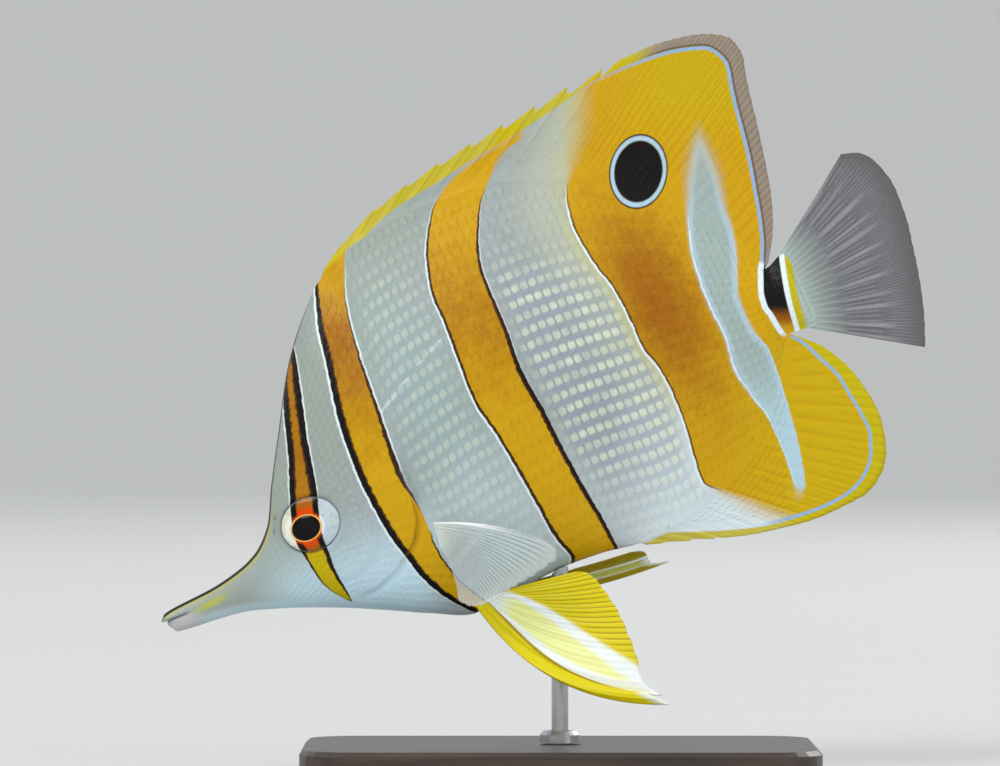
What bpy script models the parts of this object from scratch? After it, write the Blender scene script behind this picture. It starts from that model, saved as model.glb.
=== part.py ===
"""Copperband butterflyfish at life size, swimming nose down over a plain display stand.

The fish is worked out in its own frame, in millimetres: x runs aft from the tip of the mouth, y to the fish's
right, z up. posed() tips it nose down and sets it over the stand, in metres. Every solid of the fish comes from
the same side view and the same half thickness, so neighbouring pieces meet face to face.
"""

import math

import bmesh
import bpy
import numpy as np

MM = 0.001
GAP = 0.3  # kept between pieces that touch
LIPS_APART = 0.55  # at the tip of the mouth

# The pose: the fish swims nose down, and these place the tip of its mouth over the floor.
NOSE_DOWN = math.radians(25)
MOUTH_X = -71.1
MOUTH_Z = 27.8

# Where the body is parted, in millimetres aft of the mouth.
JAW_END = 5.4
SNOUT_END = 20.0
HEAD_END = 49.4
TRUNK_END = 119.0
STALK_END = 127.5

# Fins, by where their bases begin and end along the back or the belly.
DORSAL_START = 51.8
SPINES_END = 95.0
DORSAL_END = 124.2
ANAL_START = 83.4
ANAL_SPINES_END = 91.0
ANAL_END = 123.2
DORSAL_SPINES = 9
DORSAL_RAYS = 29
ANAL_SPINES = 3
ANAL_RAYS = 20
TAIL_RAYS = 17
PECTORAL_RAYS = 14
PELVIC_RAYS = 10  # the spine and five soft rays, each soft ray forked once

# Half thicknesses of the fins.
MEMBRANE = 0.26
RAY = 0.43
SPINE = 0.6
FIN_SPLIT = 0.42  # along the back, between the spiny and the soft part; the rays lean, so square to them it is GAP
FIN_ROOT = 1.3
RAY_STEPS = np.array([0, 0.07, 0.2, 0.45, 0.72, 1])  # where a straight ray has a point, closer at its thick root
LEAST_HALF = 0.12

# The stand.
BASE_LENGTH = 92.0
BASE_WIDTH = 58.0
BASE_THICK = 6.0
BASE_CORNER = 9.0
BASE_BEVEL = 0.8
ROD_RADIUS = 1.5
SOCKET_DEPTH = 4.0
COLLAR_RADIUS = 3.6
COLLAR_HEIGHT = 2.4

# Eyes: the middle of the clear dome on the side of the head.
EYE_X = 31.7
EYE_Z = 4.5
EYE_RADIUS = 5.0
EYE_DOME = 1.1
EYE_DEPTH = 3.6
EYE_FORWARD = math.radians(9)

COLOURS = {
    "skin": ((0.80, 0.80, 0.76), 0.4, 0.0),
    "fin": ((0.86, 0.66, 0.05), 0.45, 0.0),
    "clear_fin": ((0.62, 0.65, 0.63), 0.35, 0.0),
    "eye": ((0.02, 0.02, 0.03), 0.08, 0.0),
    "stand_wood": ((0.05, 0.035, 0.028), 0.4, 0.0),
    "stand_steel": ((0.6, 0.6, 0.6), 0.3, 1.0),
}


def smooth(knots):
    """A curve through {position: value} that never overshoots between its knots (a monotone cubic)."""
    at = np.array(sorted(knots), float)
    value = np.array([np.atleast_1d(knots[k]) for k in sorted(knots)], float)
    step = np.diff(at)[:, None]
    slope = np.diff(value, axis=0) / step
    tangent = np.zeros_like(value)
    same = slope[1:] * slope[:-1] > 0
    weight_a = 2 * step[1:] + step[:-1]
    weight_b = step[1:] + 2 * step[:-1]
    safe = np.where(same, slope[:-1], 1), np.where(same, slope[1:], 1)
    mean = (weight_a + weight_b) / (weight_a / safe[0] + weight_b / safe[1])
    tangent[1:-1] = np.where(same, mean, 0)
    tangent[0], tangent[-1] = slope[0], slope[-1]

    def curve(s):
        s = np.clip(np.asarray(s, float), at[0], at[-1])
        i = np.clip(np.searchsorted(at, s, side="right") - 1, 0, len(at) - 2)
        h = step[i, 0][..., None]
        t = (s[..., None] - at[i][..., None]) / h
        found = (
            value[i] * (1 + 2 * t) * (1 - t) ** 2
            + tangent[i] * h * t * (1 - t) ** 2
            + value[i + 1] * t**2 * (3 - 2 * t)
            + tangent[i + 1] * h * t**2 * (t - 1)
        )
        return found[..., 0] if value.shape[1] == 1 else found

    return curve


# The side view of the flesh: its upper and lower edge, and the level where it is widest.
flesh_top = smooth({
    0: 0.5, 0.8: 1.0, 3: 1.35, 10: 1.6, 16: 2.5, 20: 3.9, 24: 7.2, 28: 13.8, 33: 21.6, 40: 32.2, 46: 38.9,
    51.4: 43.4, 60: 46.4, 70: 47.6, 80: 47.0, 90: 44.5, 100: 40.5, 108: 35.5, 114: 29, 118: 22.5, 122: 15.3,
    124.5: 11.6, 127.5: 12.7,
})
flesh_bottom = smooth({
    0: -1.6, 0.7: -2.6, 3: -3.05, 10: -3.9, 14: -4.6, 20: -6.7, 30: -11.2, 39: -16.0, 44: -18.8, 52: -22.3,
    60: -21.9, 68: -21.4, 76: -22.0, 84: -23.3, 92: -22.8, 100: -20.5, 106: -17.5, 112: -13, 117: -8, 120: -4.6,
    123.3: -0.7, 127.5: -1.3,
})
widest_level = smooth({0: -0.6, 10: -1.1, 20: -1.2, 26: 1.5, 32: 4.3, 40: 6, 50: 9, 65: 12, 80: 13, 95: 11.5, 108: 9, 118: 6.5, 127.5: 5.7})
half_width = smooth({0: 1.15, 1: 1.6, 5: 1.8, 12: 2.25, 18: 3.0, 24: 4.9, 31: 7.0, 38: 8.4, 46: 9.3, 56: 9.8, 66: 9.5, 80: 8.2, 95: 6.3, 108: 4.6, 118: 3.3, 127.5: 2.7})
# How round the upper and lower edges are: 1 on the bare head and belly, 0 where a fin grows out of the edge.
round_top = smooth({0: 1, 44: 1, 54: 0, 124: 0, 127.5: 0.6})
round_bottom = smooth({0: 1, 74: 1, 86: 0, 123: 0, 127.5: 0.6})
root_half = smooth({0: LEAST_HALF, 46: LEAST_HALF, 56: FIN_ROOT, 115: FIN_ROOT, 127.5: 1.1})
root_half_below = smooth({0: LEAST_HALF, 76: LEAST_HALF, 88: FIN_ROOT, 115: FIN_ROOT, 127.5: 1.1})

# The outer edges of the unpaired fins: where the ray that starts at s along the body ends, as (x, z).
dorsal_edge = smooth({
    51: (51.6, 44.2), 55: (58.2, 47.8), 60: (66.5, 51.0), 70: (81.0, 53.6), 80: (95.0, 55.0), 90: (109, 56.2),
    98: (121, 56.4), 103: (129.3, 55.2), 106: (134.0, 53.3), 108: (136.3, 51.2), 110: (136.8, 48.2),
    112: (135.7, 44.0), 116: (133.4, 33.2), 120: (130.8, 23.0), 122.5: (128.2, 16.8), 124.2: (125.4, 12.6),
})
anal_edge = smooth({
    83: (83.6, -23.9), 86: (89.0, -25.8), 90: (96.0, -28.4), 96: (105, -31.1), 102: (116, -32.8),
    106: (122.8, -32.6), 109: (127.6, -30.4), 112: (130.6, -26), 115: (131.9, -19.5), 118: (131.0, -12.6),
    121: (127.7, -5.2), 123.3: (124.2, -1.5),
})
# The tail fin's rear edge from its lower to its upper corner, as a share of the way up.
tail_edge = smooth({
    0: (144.4, -13.2), 0.15: (147.0, -7.0), 0.3: (148.8, -1.2), 0.45: (150.1, 4.2), 0.6: (151.2, 9.5),
    0.75: (151.6, 15.2), 0.87: (150.7, 19.8), 0.95: (148.7, 23.1), 1: (145.4, 24.5),
})


def half_thickness(s, z):
    """Half the body's thickness at a point of its side view: an oval section on the bare head and belly, and a
    lens that ends in the fin's root where a fin grows out."""
    s, z = np.broadcast_arrays(np.asarray(s, float), np.asarray(z, float))
    level, wide = widest_level(s), half_width(s)
    above = z >= level
    reach = np.where(above, flesh_top(s) - level, level - flesh_bottom(s))
    t = np.clip(np.abs(z - level) / np.maximum(reach, 0.01), 0, 1)
    roundness = np.where(above, round_top(s), round_bottom(s))
    edge = np.where(above, root_half(s), root_half_below(s))
    oval = np.maximum(wide * np.sqrt(1 - t**2.3), edge)
    lens = edge + (wide - edge) * (1 - t**2) ** 1.3
    brow = 0.55 * np.exp(-((s - EYE_X) ** 2 + (z - EYE_Z) ** 2) / 60) * (t < 0.98)
    return roundness * oval + (1 - roundness) * lens + brow


def posed(points):
    """Points of the fish's own frame, tipped nose down and set over the stand, in metres."""
    points = np.asarray(points, float)
    cos, sin = math.cos(NOSE_DOWN), math.sin(NOSE_DOWN)
    x = MOUTH_X + points[..., 0] * cos - points[..., 2] * sin
    z = MOUTH_Z + points[..., 0] * sin + points[..., 2] * cos
    return np.stack([x, points[..., 1], z], -1) * MM


def material(name):
    found = bpy.data.materials.get(name)
    if found:
        return found
    colour, roughness, metallic = COLOURS[name]
    made = bpy.data.materials.new(name)
    made.use_nodes = True
    shader = made.node_tree.nodes["Principled BSDF"]
    shader.inputs["Base Color"].default_value = (*colour, 1)
    shader.inputs["Roughness"].default_value = roughness
    shader.inputs["Metallic"].default_value = metallic
    return made


def solid(name, points, faces, finish):
    """A named object from points in metres and faces, with its faces turned outwards."""
    mesh = bpy.data.meshes.new(name)
    mesh.from_pydata([tuple(p) for p in points], [], faces)
    work = bmesh.new()
    work.from_mesh(mesh)
    bmesh.ops.recalc_face_normals(work, faces=work.faces)
    work.to_mesh(mesh)
    work.free()
    mesh.materials.append(material(finish))
    mesh.shade_smooth()
    mesh.set_sharp_from_angle(angle=math.radians(40))
    made = bpy.data.objects.new(name, mesh)
    bpy.context.scene.collection.objects.link(made)
    return made


def helper(made):
    """Marks an object as a cutter, which isn't part of the model."""
    made.hide_render = True
    made.display_type = "WIRE"
    return made


def sheet(name, left, right, finish, place=posed):
    """A closed solid between two grids of points, left and right, joined all round their edges. Both faces are
    split into triangles alike."""
    rows, columns = left.shape[:2]
    a = np.arange(rows * columns).reshape(rows, columns)
    b = a + rows * columns
    faces = []
    for grid in (a, b):
        low_left, low_right = grid[:-1, :-1].ravel(), grid[1:, :-1].ravel()
        top_left, top_right = grid[:-1, 1:].ravel(), grid[1:, 1:].ravel()
        faces += list(zip(low_left.tolist(), low_right.tolist(), top_right.tolist()))
        faces += list(zip(low_left.tolist(), top_right.tolist(), top_left.tolist()))
    for first, second in ((a[0], b[0]), (a[-1], b[-1]), (a[:, 0], b[:, 0]), (a[:, -1], b[:, -1])):
        faces += list(zip(first[:-1].tolist(), first[1:].tolist(), second[1:].tolist(), second[:-1].tolist()))
    points = place(np.concatenate([left.reshape(-1, 3), right.reshape(-1, 3)]))
    return solid(name, points, faces, finish)


def turned(name, profile, sides, finish, frame, place=posed):
    """A solid of revolution from (radius, height) pairs that start and end on the axis. frame turns points
    (a, b, height) of the turned shape into the frame that place reads."""
    angle = np.arange(sides) * 2 * math.pi / sides
    inner = profile[1:-1]
    rings = [[(r * math.cos(t), r * math.sin(t), h) for t in angle] for r, h in inner]
    points = [(0, 0, profile[0][1])] + [p for ring in rings for p in ring] + [(0, 0, profile[-1][1])]
    last = len(points) - 1
    faces = []
    for k in range(sides):
        n = (k + 1) % sides
        faces.append((0, 1 + k, 1 + n))
        faces.append((last, last - sides + n, last - sides + k))
        for ring in range(len(inner) - 1):
            near, far = 1 + ring * sides, 1 + (ring + 1) * sides
            faces.append((near + k, far + k, far + n, near + n))
    return solid(name, place(frame(np.array(points, float))), faces, finish)


def cut(target, cutters):
    """Takes the cutters out of the target, removes them, and keeps the target's largest closed surface."""
    for number, cutter in enumerate(cutters):
        boolean = target.modifiers.new(f"cut_{number}", "BOOLEAN")
        boolean.operation = "DIFFERENCE"
        boolean.solver = "EXACT"
        boolean.object = cutter
    graph = bpy.context.evaluated_depsgraph_get()
    result = bpy.data.meshes.new_from_object(target.evaluated_get(graph))
    target.modifiers.clear()
    target.data = result
    for cutter in cutters:
        bpy.data.objects.remove(cutter)
    keep_largest(target)
    return target


def keep_largest(target):
    """Drops every loose scrap but the largest closed surface."""
    work = bmesh.new()
    work.from_mesh(target.data)
    bmesh.ops.remove_doubles(work, verts=work.verts, dist=1e-7)
    unseen = set(work.verts)
    islands = []
    while unseen:
        stack = [unseen.pop()]
        island = set(stack)
        while stack:
            for edge in stack.pop().link_edges:
                for vertex in edge.verts:
                    if vertex in unseen:
                        unseen.remove(vertex)
                        island.add(vertex)
                        stack.append(vertex)
        islands.append(island)
    islands.sort(key=len)
    loose = [vertex for island in islands[:-1] for vertex in island]
    bmesh.ops.delete(work, geom=loose, context="VERTS")
    work.to_mesh(target.data)
    work.free()


def levels(s, across, grow=0.0):
    """The heights at which a section is sampled, closer together towards its edges."""
    turn = np.linspace(-math.pi / 2, math.pi / 2, across)
    up = np.clip(np.sin(turn), 0, 1)
    down = np.clip(-np.sin(turn), 0, 1)
    level = widest_level(s)[:, None]
    top = flesh_top(s)[:, None] + grow
    bottom = flesh_bottom(s)[:, None] - grow
    return level + up * (top - level) - down * (level - bottom)


def flesh(name, start, end, spacing=2.2, across=17, grow=0.0):
    """The flesh between two sections of the body, or the same grown by a margin, for use as a cutter."""
    s = np.linspace(start, end, max(3, round((end - start) / spacing) + 1))
    z = levels(s, across)
    grown = levels(s, across, grow)
    half = half_thickness(s[:, None], z) + grow
    x = np.broadcast_to(s[:, None], z.shape)
    left = np.stack([x, -half, grown], -1)
    right = np.stack([x, half, grown], -1)
    return sheet(name, left, right, "skin")


def jaw(name, upper):
    """One jaw, from the lip to the snout, split from the other along the mouth's line."""
    s = np.array([0.0, 0.25, 0.7, 1.4, 2.4, 3.4, 4.4, JAW_END])
    cleft = -0.25 - 0.06 * s
    opening = np.interp(s, [0, JAW_END], [LIPS_APART / 2, GAP / 2])
    lip = 1 + 0.12 * np.exp(-(((s - 1.1) / 0.8) ** 2))
    start = 0.0 if upper else 0.35
    s_placed = start + s * (JAW_END - start) / JAW_END
    outer = flesh_top(s) if upper else flesh_bottom(s)
    inner = cleft + opening if upper else cleft - opening
    t = np.sin(np.linspace(0, math.pi / 2, 8))
    z = inner[:, None] + (outer - inner)[:, None] * t
    half = np.maximum((half_width(s) * lip)[:, None] * np.sqrt(1 - t**2.4 * 0.985), LEAST_HALF)
    half[0] *= 0.75
    x = np.broadcast_to(s_placed[:, None], z.shape)
    return sheet(name, np.stack([x, -half, z], -1), np.stack([x, half, z], -1), "skin")


def unpaired_fin(name, base, edge, s, ridge, base_half, notch=None):
    """An upright fin that grows out of the body's edge. s holds each column's place along the base, and ridge
    its half thickness away from the root: high on a ray and low on the membrane between. notch shortens the
    columns, as a share of their length."""
    foot = np.stack([s, base(s)], -1)
    tip = edge(s)
    if notch is not None:
        tip = tip - (tip - foot) * notch[:, None]
    run = tip - foot
    length = np.hypot(run[:, 0], run[:, 1])
    direction = run / length[:, None]
    share = RAY_STEPS
    lift = np.sign(direction[:, 1]) * GAP
    start = foot + np.stack([0 * s, lift], -1)
    place = start[:, None] + (tip - start)[:, None] * share[None, :, None]
    travelled = share[None] * length[:, None]
    fade = np.exp(-travelled / 3.5)
    taper = 1 - 0.35 * share[None] ** 2
    half = base_half(s)[:, None] * fade + ridge[:, None] * taper * (1 - fade)
    left = np.stack([place[..., 0], -half, place[..., 1]], -1)
    right = np.stack([place[..., 0], half, place[..., 1]], -1)
    return sheet(name, left, right, "fin")


def ray_columns(start, end, count):
    """Places along a fin's base, two columns for each ray, and the half thickness of each column."""
    s = np.linspace(start, end, 2 * count + 1)
    ridge = np.where(np.arange(len(s)) % 2 == 1, RAY, MEMBRANE)
    ridge[0] = ridge[-1] = RAY * 0.8
    return s, ridge


def spine_columns(start, end, count, depth):
    """Four columns for each spine, with the membrane notched behind each tip by a share of the fin's height."""
    pitch = (end - start) / count
    s, ridge, notch = [], [], []
    for k in range(count):
        tip = start + (k + 0.55) * pitch
        s += [tip - 0.28 * pitch, tip, tip + 0.13 * pitch, tip + 0.4 * pitch]
        ridge += [MEMBRANE, SPINE, MEMBRANE * 1.2, MEMBRANE]
        notch += [depth * 0.35, 0.0, depth * 0.75, depth]
    s = [start] + s + [end]
    ridge = [SPINE * 0.8] + ridge + [RAY]
    notch = [depth * 0.3] + notch + [0.0]
    return np.array(s), np.array(ridge), np.array(notch)


def dorsal_fin():
    s, ridge, notch = spine_columns(DORSAL_START, SPINES_END, DORSAL_SPINES, 0.13)
    unpaired_fin("dorsal_fin_spiny", flesh_top, dorsal_edge, s, ridge, root_half, notch)
    s, ridge = ray_columns(SPINES_END + FIN_SPLIT, DORSAL_END, DORSAL_RAYS)
    unpaired_fin("dorsal_fin_soft", flesh_top, dorsal_edge, s, ridge, root_half)


def anal_fin():
    spine_s, spine_ridge, notch = spine_columns(ANAL_START, ANAL_SPINES_END, ANAL_SPINES, 0.15)
    ray_s, ray_ridge = ray_columns(ANAL_SPINES_END, ANAL_END, ANAL_RAYS)
    s = np.concatenate([spine_s, ray_s[1:]])
    ridge = np.concatenate([spine_ridge, ray_ridge[1:]])
    notch = np.concatenate([notch, 0 * ray_s[1:]])
    unpaired_fin("anal_fin", flesh_bottom, anal_edge, s, ridge, root_half_below, notch)


def tail_fin():
    """A fan of rays from the end of the tail stalk to a rounded rear edge, with a slight sideways wave."""
    rise, ridge = ray_columns(0, 1, TAIL_RAYS)
    start = STALK_END + GAP
    low, high = flesh_bottom(STALK_END), flesh_top(STALK_END)
    foot = np.stack([np.full_like(rise, start), low + (high - low) * rise], -1)
    share = RAY_STEPS
    place = foot[:, None] + (tail_edge(rise) - foot)[:, None] * share[None, :, None]
    fade = np.exp(-share * 9)
    root = half_thickness(STALK_END, foot[:, 1])
    half = root[:, None] * fade + (ridge[:, None] * (1 - 0.45 * share**2)) * (1 - fade)
    wave = tail_wave(place[..., 0])
    left = np.stack([place[..., 0], wave - half, place[..., 1]], -1)
    right = np.stack([place[..., 0], wave + half, place[..., 1]], -1)
    return sheet("tail_fin", left, right, "clear_fin")


def tail_wave(x):
    """How far the tail fin swings to the fish's right, at x aft of the mouth."""
    return 0.0045 * np.clip(x - STALK_END, 0, None) ** 2


def fan(name, feet, tips, bulge, ridge, along, outward, finish):
    """A paired fin: rays from feet to tips, both (rays, 3). Each ray bows by bulge, (rays, 3). outward is the
    side that faces away from the body, and carries the thickness."""
    share = np.linspace(0, 1, along)[None, :, None]
    place = feet[:, None] * (1 - share) + tips[:, None] * share + 4 * bulge[:, None] * share * (1 - share)
    across = np.gradient(place, axis=0)
    down = np.gradient(place, axis=1)
    normal = np.cross(across, down)
    normal /= np.linalg.norm(normal, axis=-1, keepdims=True)
    normal *= np.sign((normal * outward).sum(-1, keepdims=True))
    thick = ridge[:, None] * (1 - 0.4 * share[..., 0] ** 2)
    left = place + normal * thick[..., None]
    right = place - normal * thick[..., None]
    return sheet(name, left, right, finish)


def pectoral_fin(name, side):
    """The clear fan behind the gill cover, swept down and back. Its upper rays are the longest."""
    rise, ridge = ray_columns(0, 1, PECTORAL_RAYS)
    ridge = ridge * 0.95
    angle = np.radians(-96 + 62 * rise)
    length = smooth({0: 10.5, 0.3: 15.2, 0.6: 19.8, 0.85: 23.4, 1: 23.6})(rise)
    foot_x = PECTORAL_X + 0.5 * rise
    foot_z = PECTORAL_Z - PECTORAL_BASE * (1 - rise)
    foot_y = half_thickness(foot_x, foot_z) - 0.2
    flare = 0.30 + 0.10 * rise
    feet = np.stack([foot_x, side * foot_y, foot_z], -1)
    tips = feet + length[:, None] * np.stack([np.cos(angle), side * flare, np.sin(angle)], -1)
    bulge = 0.03 * length[:, None] * np.array([0.0, side, 0.0])
    outward = np.array([0.0, side, 0.0])
    return fan(name, feet, tips, bulge, ridge, 5, outward, "clear_fin")


PECTORAL_X = 50.9
PECTORAL_Z = -4.2
PECTORAL_BASE = 4.6


# The pelvic fins: where each ray ends in the side view, from the leading spine to the inmost ray, and how far
# it stands out from the midline there. The left one is spread and lowered, the right one is folded back.
PELVIC = {
    -1: {
        "edge": smooth({
            0: (76.2, -51.2), 0.1: (73.2, -47.6), 0.17: (75.4, -48.9), 0.25: (73.4, -45.6), 0.4: (74.4, -40.0),
            0.6: (74.7, -33.4), 0.8: (73.9, -27.4), 0.92: (72.6, -24.0), 1: (70.8, -22.9),
        }),
        "bow": 5.3,
        "spread": smooth({0: 15.0, 0.5: 9.5, 1: 5.2}),
    },
    1: {
        "edge": smooth({0: (87.2, -29.0), 0.2: (83.8, -27.6), 0.5: (83.6, -25.6), 0.8: (82.2, -24.6), 1: (77.0, -23.9)}),
        "bow": 1.4,
        "spread": smooth({0: 9.6, 0.5: 7.4, 1: 5.4}),
    },
}
PELVIC_FRONT = 52.0
PELVIC_BACK = 57.0
PELVIC_SIDE = 3.2


def pelvic_fin(name, side):
    """A stout spine and branched rays that fan from a short base on the belly."""
    inward, ridge = ray_columns(0, 1, PELVIC_RAYS)
    ridge[0], ridge[1] = SPINE, SPINE * 1.1
    shape = PELVIC[side]
    foot_x = PELVIC_FRONT + (PELVIC_BACK - PELVIC_FRONT) * inward
    foot_z = flesh_bottom(foot_x) + 1.5
    feet = np.stack([foot_x, np.full_like(foot_x, side * PELVIC_SIDE), foot_z], -1)
    edge = shape["edge"](inward)
    tips = np.stack([edge[:, 0], side * shape["spread"](inward), edge[:, 1]], -1)
    chord = tips - feet
    forward = np.stack([chord[:, 2], 0 * inward, -chord[:, 0]], -1)
    forward /= np.linalg.norm(forward, axis=1, keepdims=True)
    bulge = forward * (shape["bow"] * (1 - inward) ** 1.4)[:, None]
    bulge[:, 1] -= side * 0.8
    return fan(name, feet, tips, bulge, ridge, 8, np.array([0.0, side, 0.0]), "fin")


def eye_frame(side, grow=0.0):
    """Turns (a, b, height) of a turned eye into the fish's frame: the axis looks out and a little forward."""
    out = np.array([-math.sin(EYE_FORWARD), side * math.cos(EYE_FORWARD), 0.0])
    up = np.array([0.0, 0.0, 1.0])
    along = np.cross(up, out)
    centre = np.array([EYE_X, side * (float(half_thickness(EYE_X, EYE_Z)) - 0.1), EYE_Z])
    return lambda p: centre + p[:, :1] * along + p[:, 1:2] * up + p[:, 2:] * out


def eye(name, side, grow=0.0):
    """The eyeball: a low clear dome in front and a deeper round back inside the head."""
    r, dome, deep = EYE_RADIUS + grow, EYE_DOME + grow, EYE_DEPTH + grow
    front = [(r * math.sin(a), dome * math.cos(a)) for a in np.radians([0, 25, 50, 72])]
    back = [(r * 1.03 * math.sin(a), -deep * math.cos(a)) for a in np.radians([88, 62, 32, 0])]
    profile = [(0, front[0][1])] + front[1:] + back[:-1] + [(0, back[-1][1])]
    return turned(name, profile, 24, "eye", eye_frame(side))


# The gill cover: its middle on the cheek, and how far it reaches forward, aft, up and down from there.
GILL_X = 43.0
GILL_Z = -3.4
GILL_FORWARD = 6.6
GILL_AFT = HEAD_END - GILL_X
GILL_UP = 12.4
GILL_DOWN = 10.4
GILL_THICK = 0.9
GILL_PROUD = 0.25


def gill_plate(name, side, grow, outer, inner):
    """A plate over the cheek between two levels above the flesh. Its outline is a rounded square in the side
    view, grown by a margin."""
    turn = np.arange(24) * 2 * math.pi / 24
    cos, sin = np.cos(turn), np.sin(turn)
    reach = (np.abs(cos) ** 2.6 + np.abs(sin) ** 2.6) ** (-1 / 2.6)
    wide = np.where(cos > 0, GILL_AFT, GILL_FORWARD) + grow
    tall = np.where(sin > 0, GILL_UP, GILL_DOWN) + grow
    points, rings = [], [0.5, 0.85, 1.0]
    for level in (outer, inner):
        y = float(half_thickness(GILL_X, GILL_Z)) + level
        points.append((GILL_X, side * y, GILL_Z))
        for ring in rings:
            x = GILL_X + ring * reach * wide * cos
            z = GILL_Z + ring * reach * tall * sin
            y = half_thickness(x, z) + level
            points += list(zip(x, side * y, z))
    count, disc = len(turn), 1 + len(turn) * len(rings)
    faces = []
    for k in range(count):
        n = (k + 1) % count
        for start in (0, disc):
            faces.append((start, start + 1 + k, start + 1 + n))
            for ring in range(len(rings) - 1):
                near = start + 1 + ring * count
                faces.append((near + k, near + count + k, near + count + n))
                faces.append((near + k, near + count + n, near + n))
        rim = 1 + (len(rings) - 1) * count
        faces.append((rim + k, rim + n, disc + rim + n, disc + rim + k))
    return solid(name, posed(np.array(points)), faces, "skin")


def nostril(name, side, x, z):
    """A shallow pit in front of the eye, as a cutter."""
    profile = [(0, 0.8), (0.34, 0.8), (0.42, 0.1), (0.3, -0.5), (0, -0.5)]
    centre = np.array([x, side * float(half_thickness(x, z)), z])
    return helper(turned(name, profile, 8, "skin", lambda p: centre + p[:, [0, 2, 1]] * [1, side, 1]))


def head():
    """The head with sockets for the eyes, pockets for the gill covers and two nostrils a side."""
    made = flesh("head", SNOUT_END + GAP, HEAD_END, spacing=2.0, across=19)
    cutters = []
    for word, side in (("left", -1), ("right", 1)):
        cutters.append(helper(eye(f"socket_{word}", side, GAP)))
        inner = GILL_PROUD - GILL_THICK - GAP
        cutters.append(helper(gill_plate(f"pocket_{word}", side, GAP, 3.0, inner)))
        cutters.append(nostril(f"nostril_front_{word}", side, 25.2, 6.0))
        cutters.append(nostril(f"nostril_back_{word}", side, 26.3, 8.2))
    cut(made, cutters)
    for word, side in (("left", -1), ("right", 1)):
        eye(f"eye_{word}", side)
        gill_plate(f"gill_cover_{word}", side, 0.0, GILL_PROUD, GILL_PROUD - GILL_THICK)


def paired_fins():
    """Pectoral and pelvic fins, each trimmed where it leaves the body."""
    for word, side in (("left", -1), ("right", 1)):
        for made in (pectoral_fin(f"pectoral_fin_{word}", side), pelvic_fin(f"pelvic_fin_{word}", side)):
            cut(made, [helper(flesh("body_grown", 30, TRUNK_END, grow=GAP))])


def stand():
    """A flat base with one steel rod up to the belly, held at its foot in a turned collar."""
    corner = BASE_CORNER
    outline = []
    for cx, cy, first in ((1, 1, 0), (-1, 1, 90), (-1, -1, 180), (1, -1, 270)):
        for step in range(7):
            a = math.radians(first + step * 15)
            x = cx * (BASE_LENGTH / 2 - corner) + corner * math.cos(a)
            y = cy * (BASE_WIDTH / 2 - corner) + corner * math.sin(a)
            outline.append((x, y))
    outline = np.array(outline)
    shrink = 1 - BASE_BEVEL / np.array([BASE_LENGTH / 2, BASE_WIDTH / 2])
    steps = ((shrink, 0), (1, BASE_BEVEL), (1, BASE_THICK - BASE_BEVEL), (shrink, BASE_THICK))
    points = np.array([[*(p * size), z] for size, z in steps for p in outline]) * MM
    count = len(outline)
    faces = [tuple(range(count)), tuple(range(3 * count, 4 * count))]
    for level in range(3):
        for k in range(count):
            n = (k + 1) % count
            faces.append((level * count + k, level * count + n, (level + 1) * count + n, (level + 1) * count + k))
    base = solid("stand_base", points, faces, "stand_wood")
    upright = lambda p: p
    metres = lambda p: p * MM
    hole = ROD_RADIUS + GAP
    floor_of_hole = BASE_THICK - SOCKET_DEPTH
    socket = [(0, floor_of_hole), (hole, floor_of_hole), (hole, BASE_THICK + 3), (0, BASE_THICK + 3)]
    cut(base, [helper(turned("socket", socket, 16, "stand_wood", upright, metres))])

    foot = floor_of_hole + GAP
    profile = [(0, foot), (ROD_RADIUS, foot), (ROD_RADIUS, 60), (0, 60)]
    rod = turned("stand_rod", profile, 16, "stand_steel", upright, metres)
    cut(rod, [helper(flesh("belly_grown", 30, TRUNK_END, grow=GAP))])

    low, high = BASE_THICK + GAP, BASE_THICK + COLLAR_HEIGHT
    ring = [(0, low), (COLLAR_RADIUS, low), (COLLAR_RADIUS, high - 0.7), (COLLAR_RADIUS - 0.7, high), (0, high)]
    collar = turned("stand_collar", ring, 24, "stand_steel", upright, metres)
    bore = [(0, low - 1), (hole, low - 1), (hole, high + 1), (0, high + 1)]
    cut(collar, [helper(turned("collar_bore", bore, 16, "stand_steel", upright, metres))])


def main():
    for old in list(bpy.data.objects):
        bpy.data.objects.remove(old)
    jaw("jaw_upper", True)
    jaw("jaw_lower", False)
    flesh("snout", JAW_END + GAP, SNOUT_END, spacing=2.0, across=13)
    head()
    flesh("trunk", HEAD_END + GAP, TRUNK_END, spacing=3.6, across=17)
    flesh("tail_stalk", TRUNK_END + GAP, STALK_END, spacing=1.7, across=15)
    dorsal_fin()
    anal_fin()
    tail_fin()
    paired_fins()
    stand()


main()
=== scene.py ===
"""Dresses the butterflyfish model: one painted skin, a coat of scales, rayed fins, eyes, and a display stand.

Shapes are worked out in the fish's own frame in millimetres: x runs aft from the tip of the mouth, y to the
fish's right, z up. Pose tips that frame nose down over the stand. The coloured bands are worked out in the
side view of the posed fish, where they run nearly upright: X to the right of the rod, Z above the table."""

import logging
import math
from collections.abc import Iterator, Sequence
from dataclasses import dataclass
from enum import IntEnum

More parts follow.
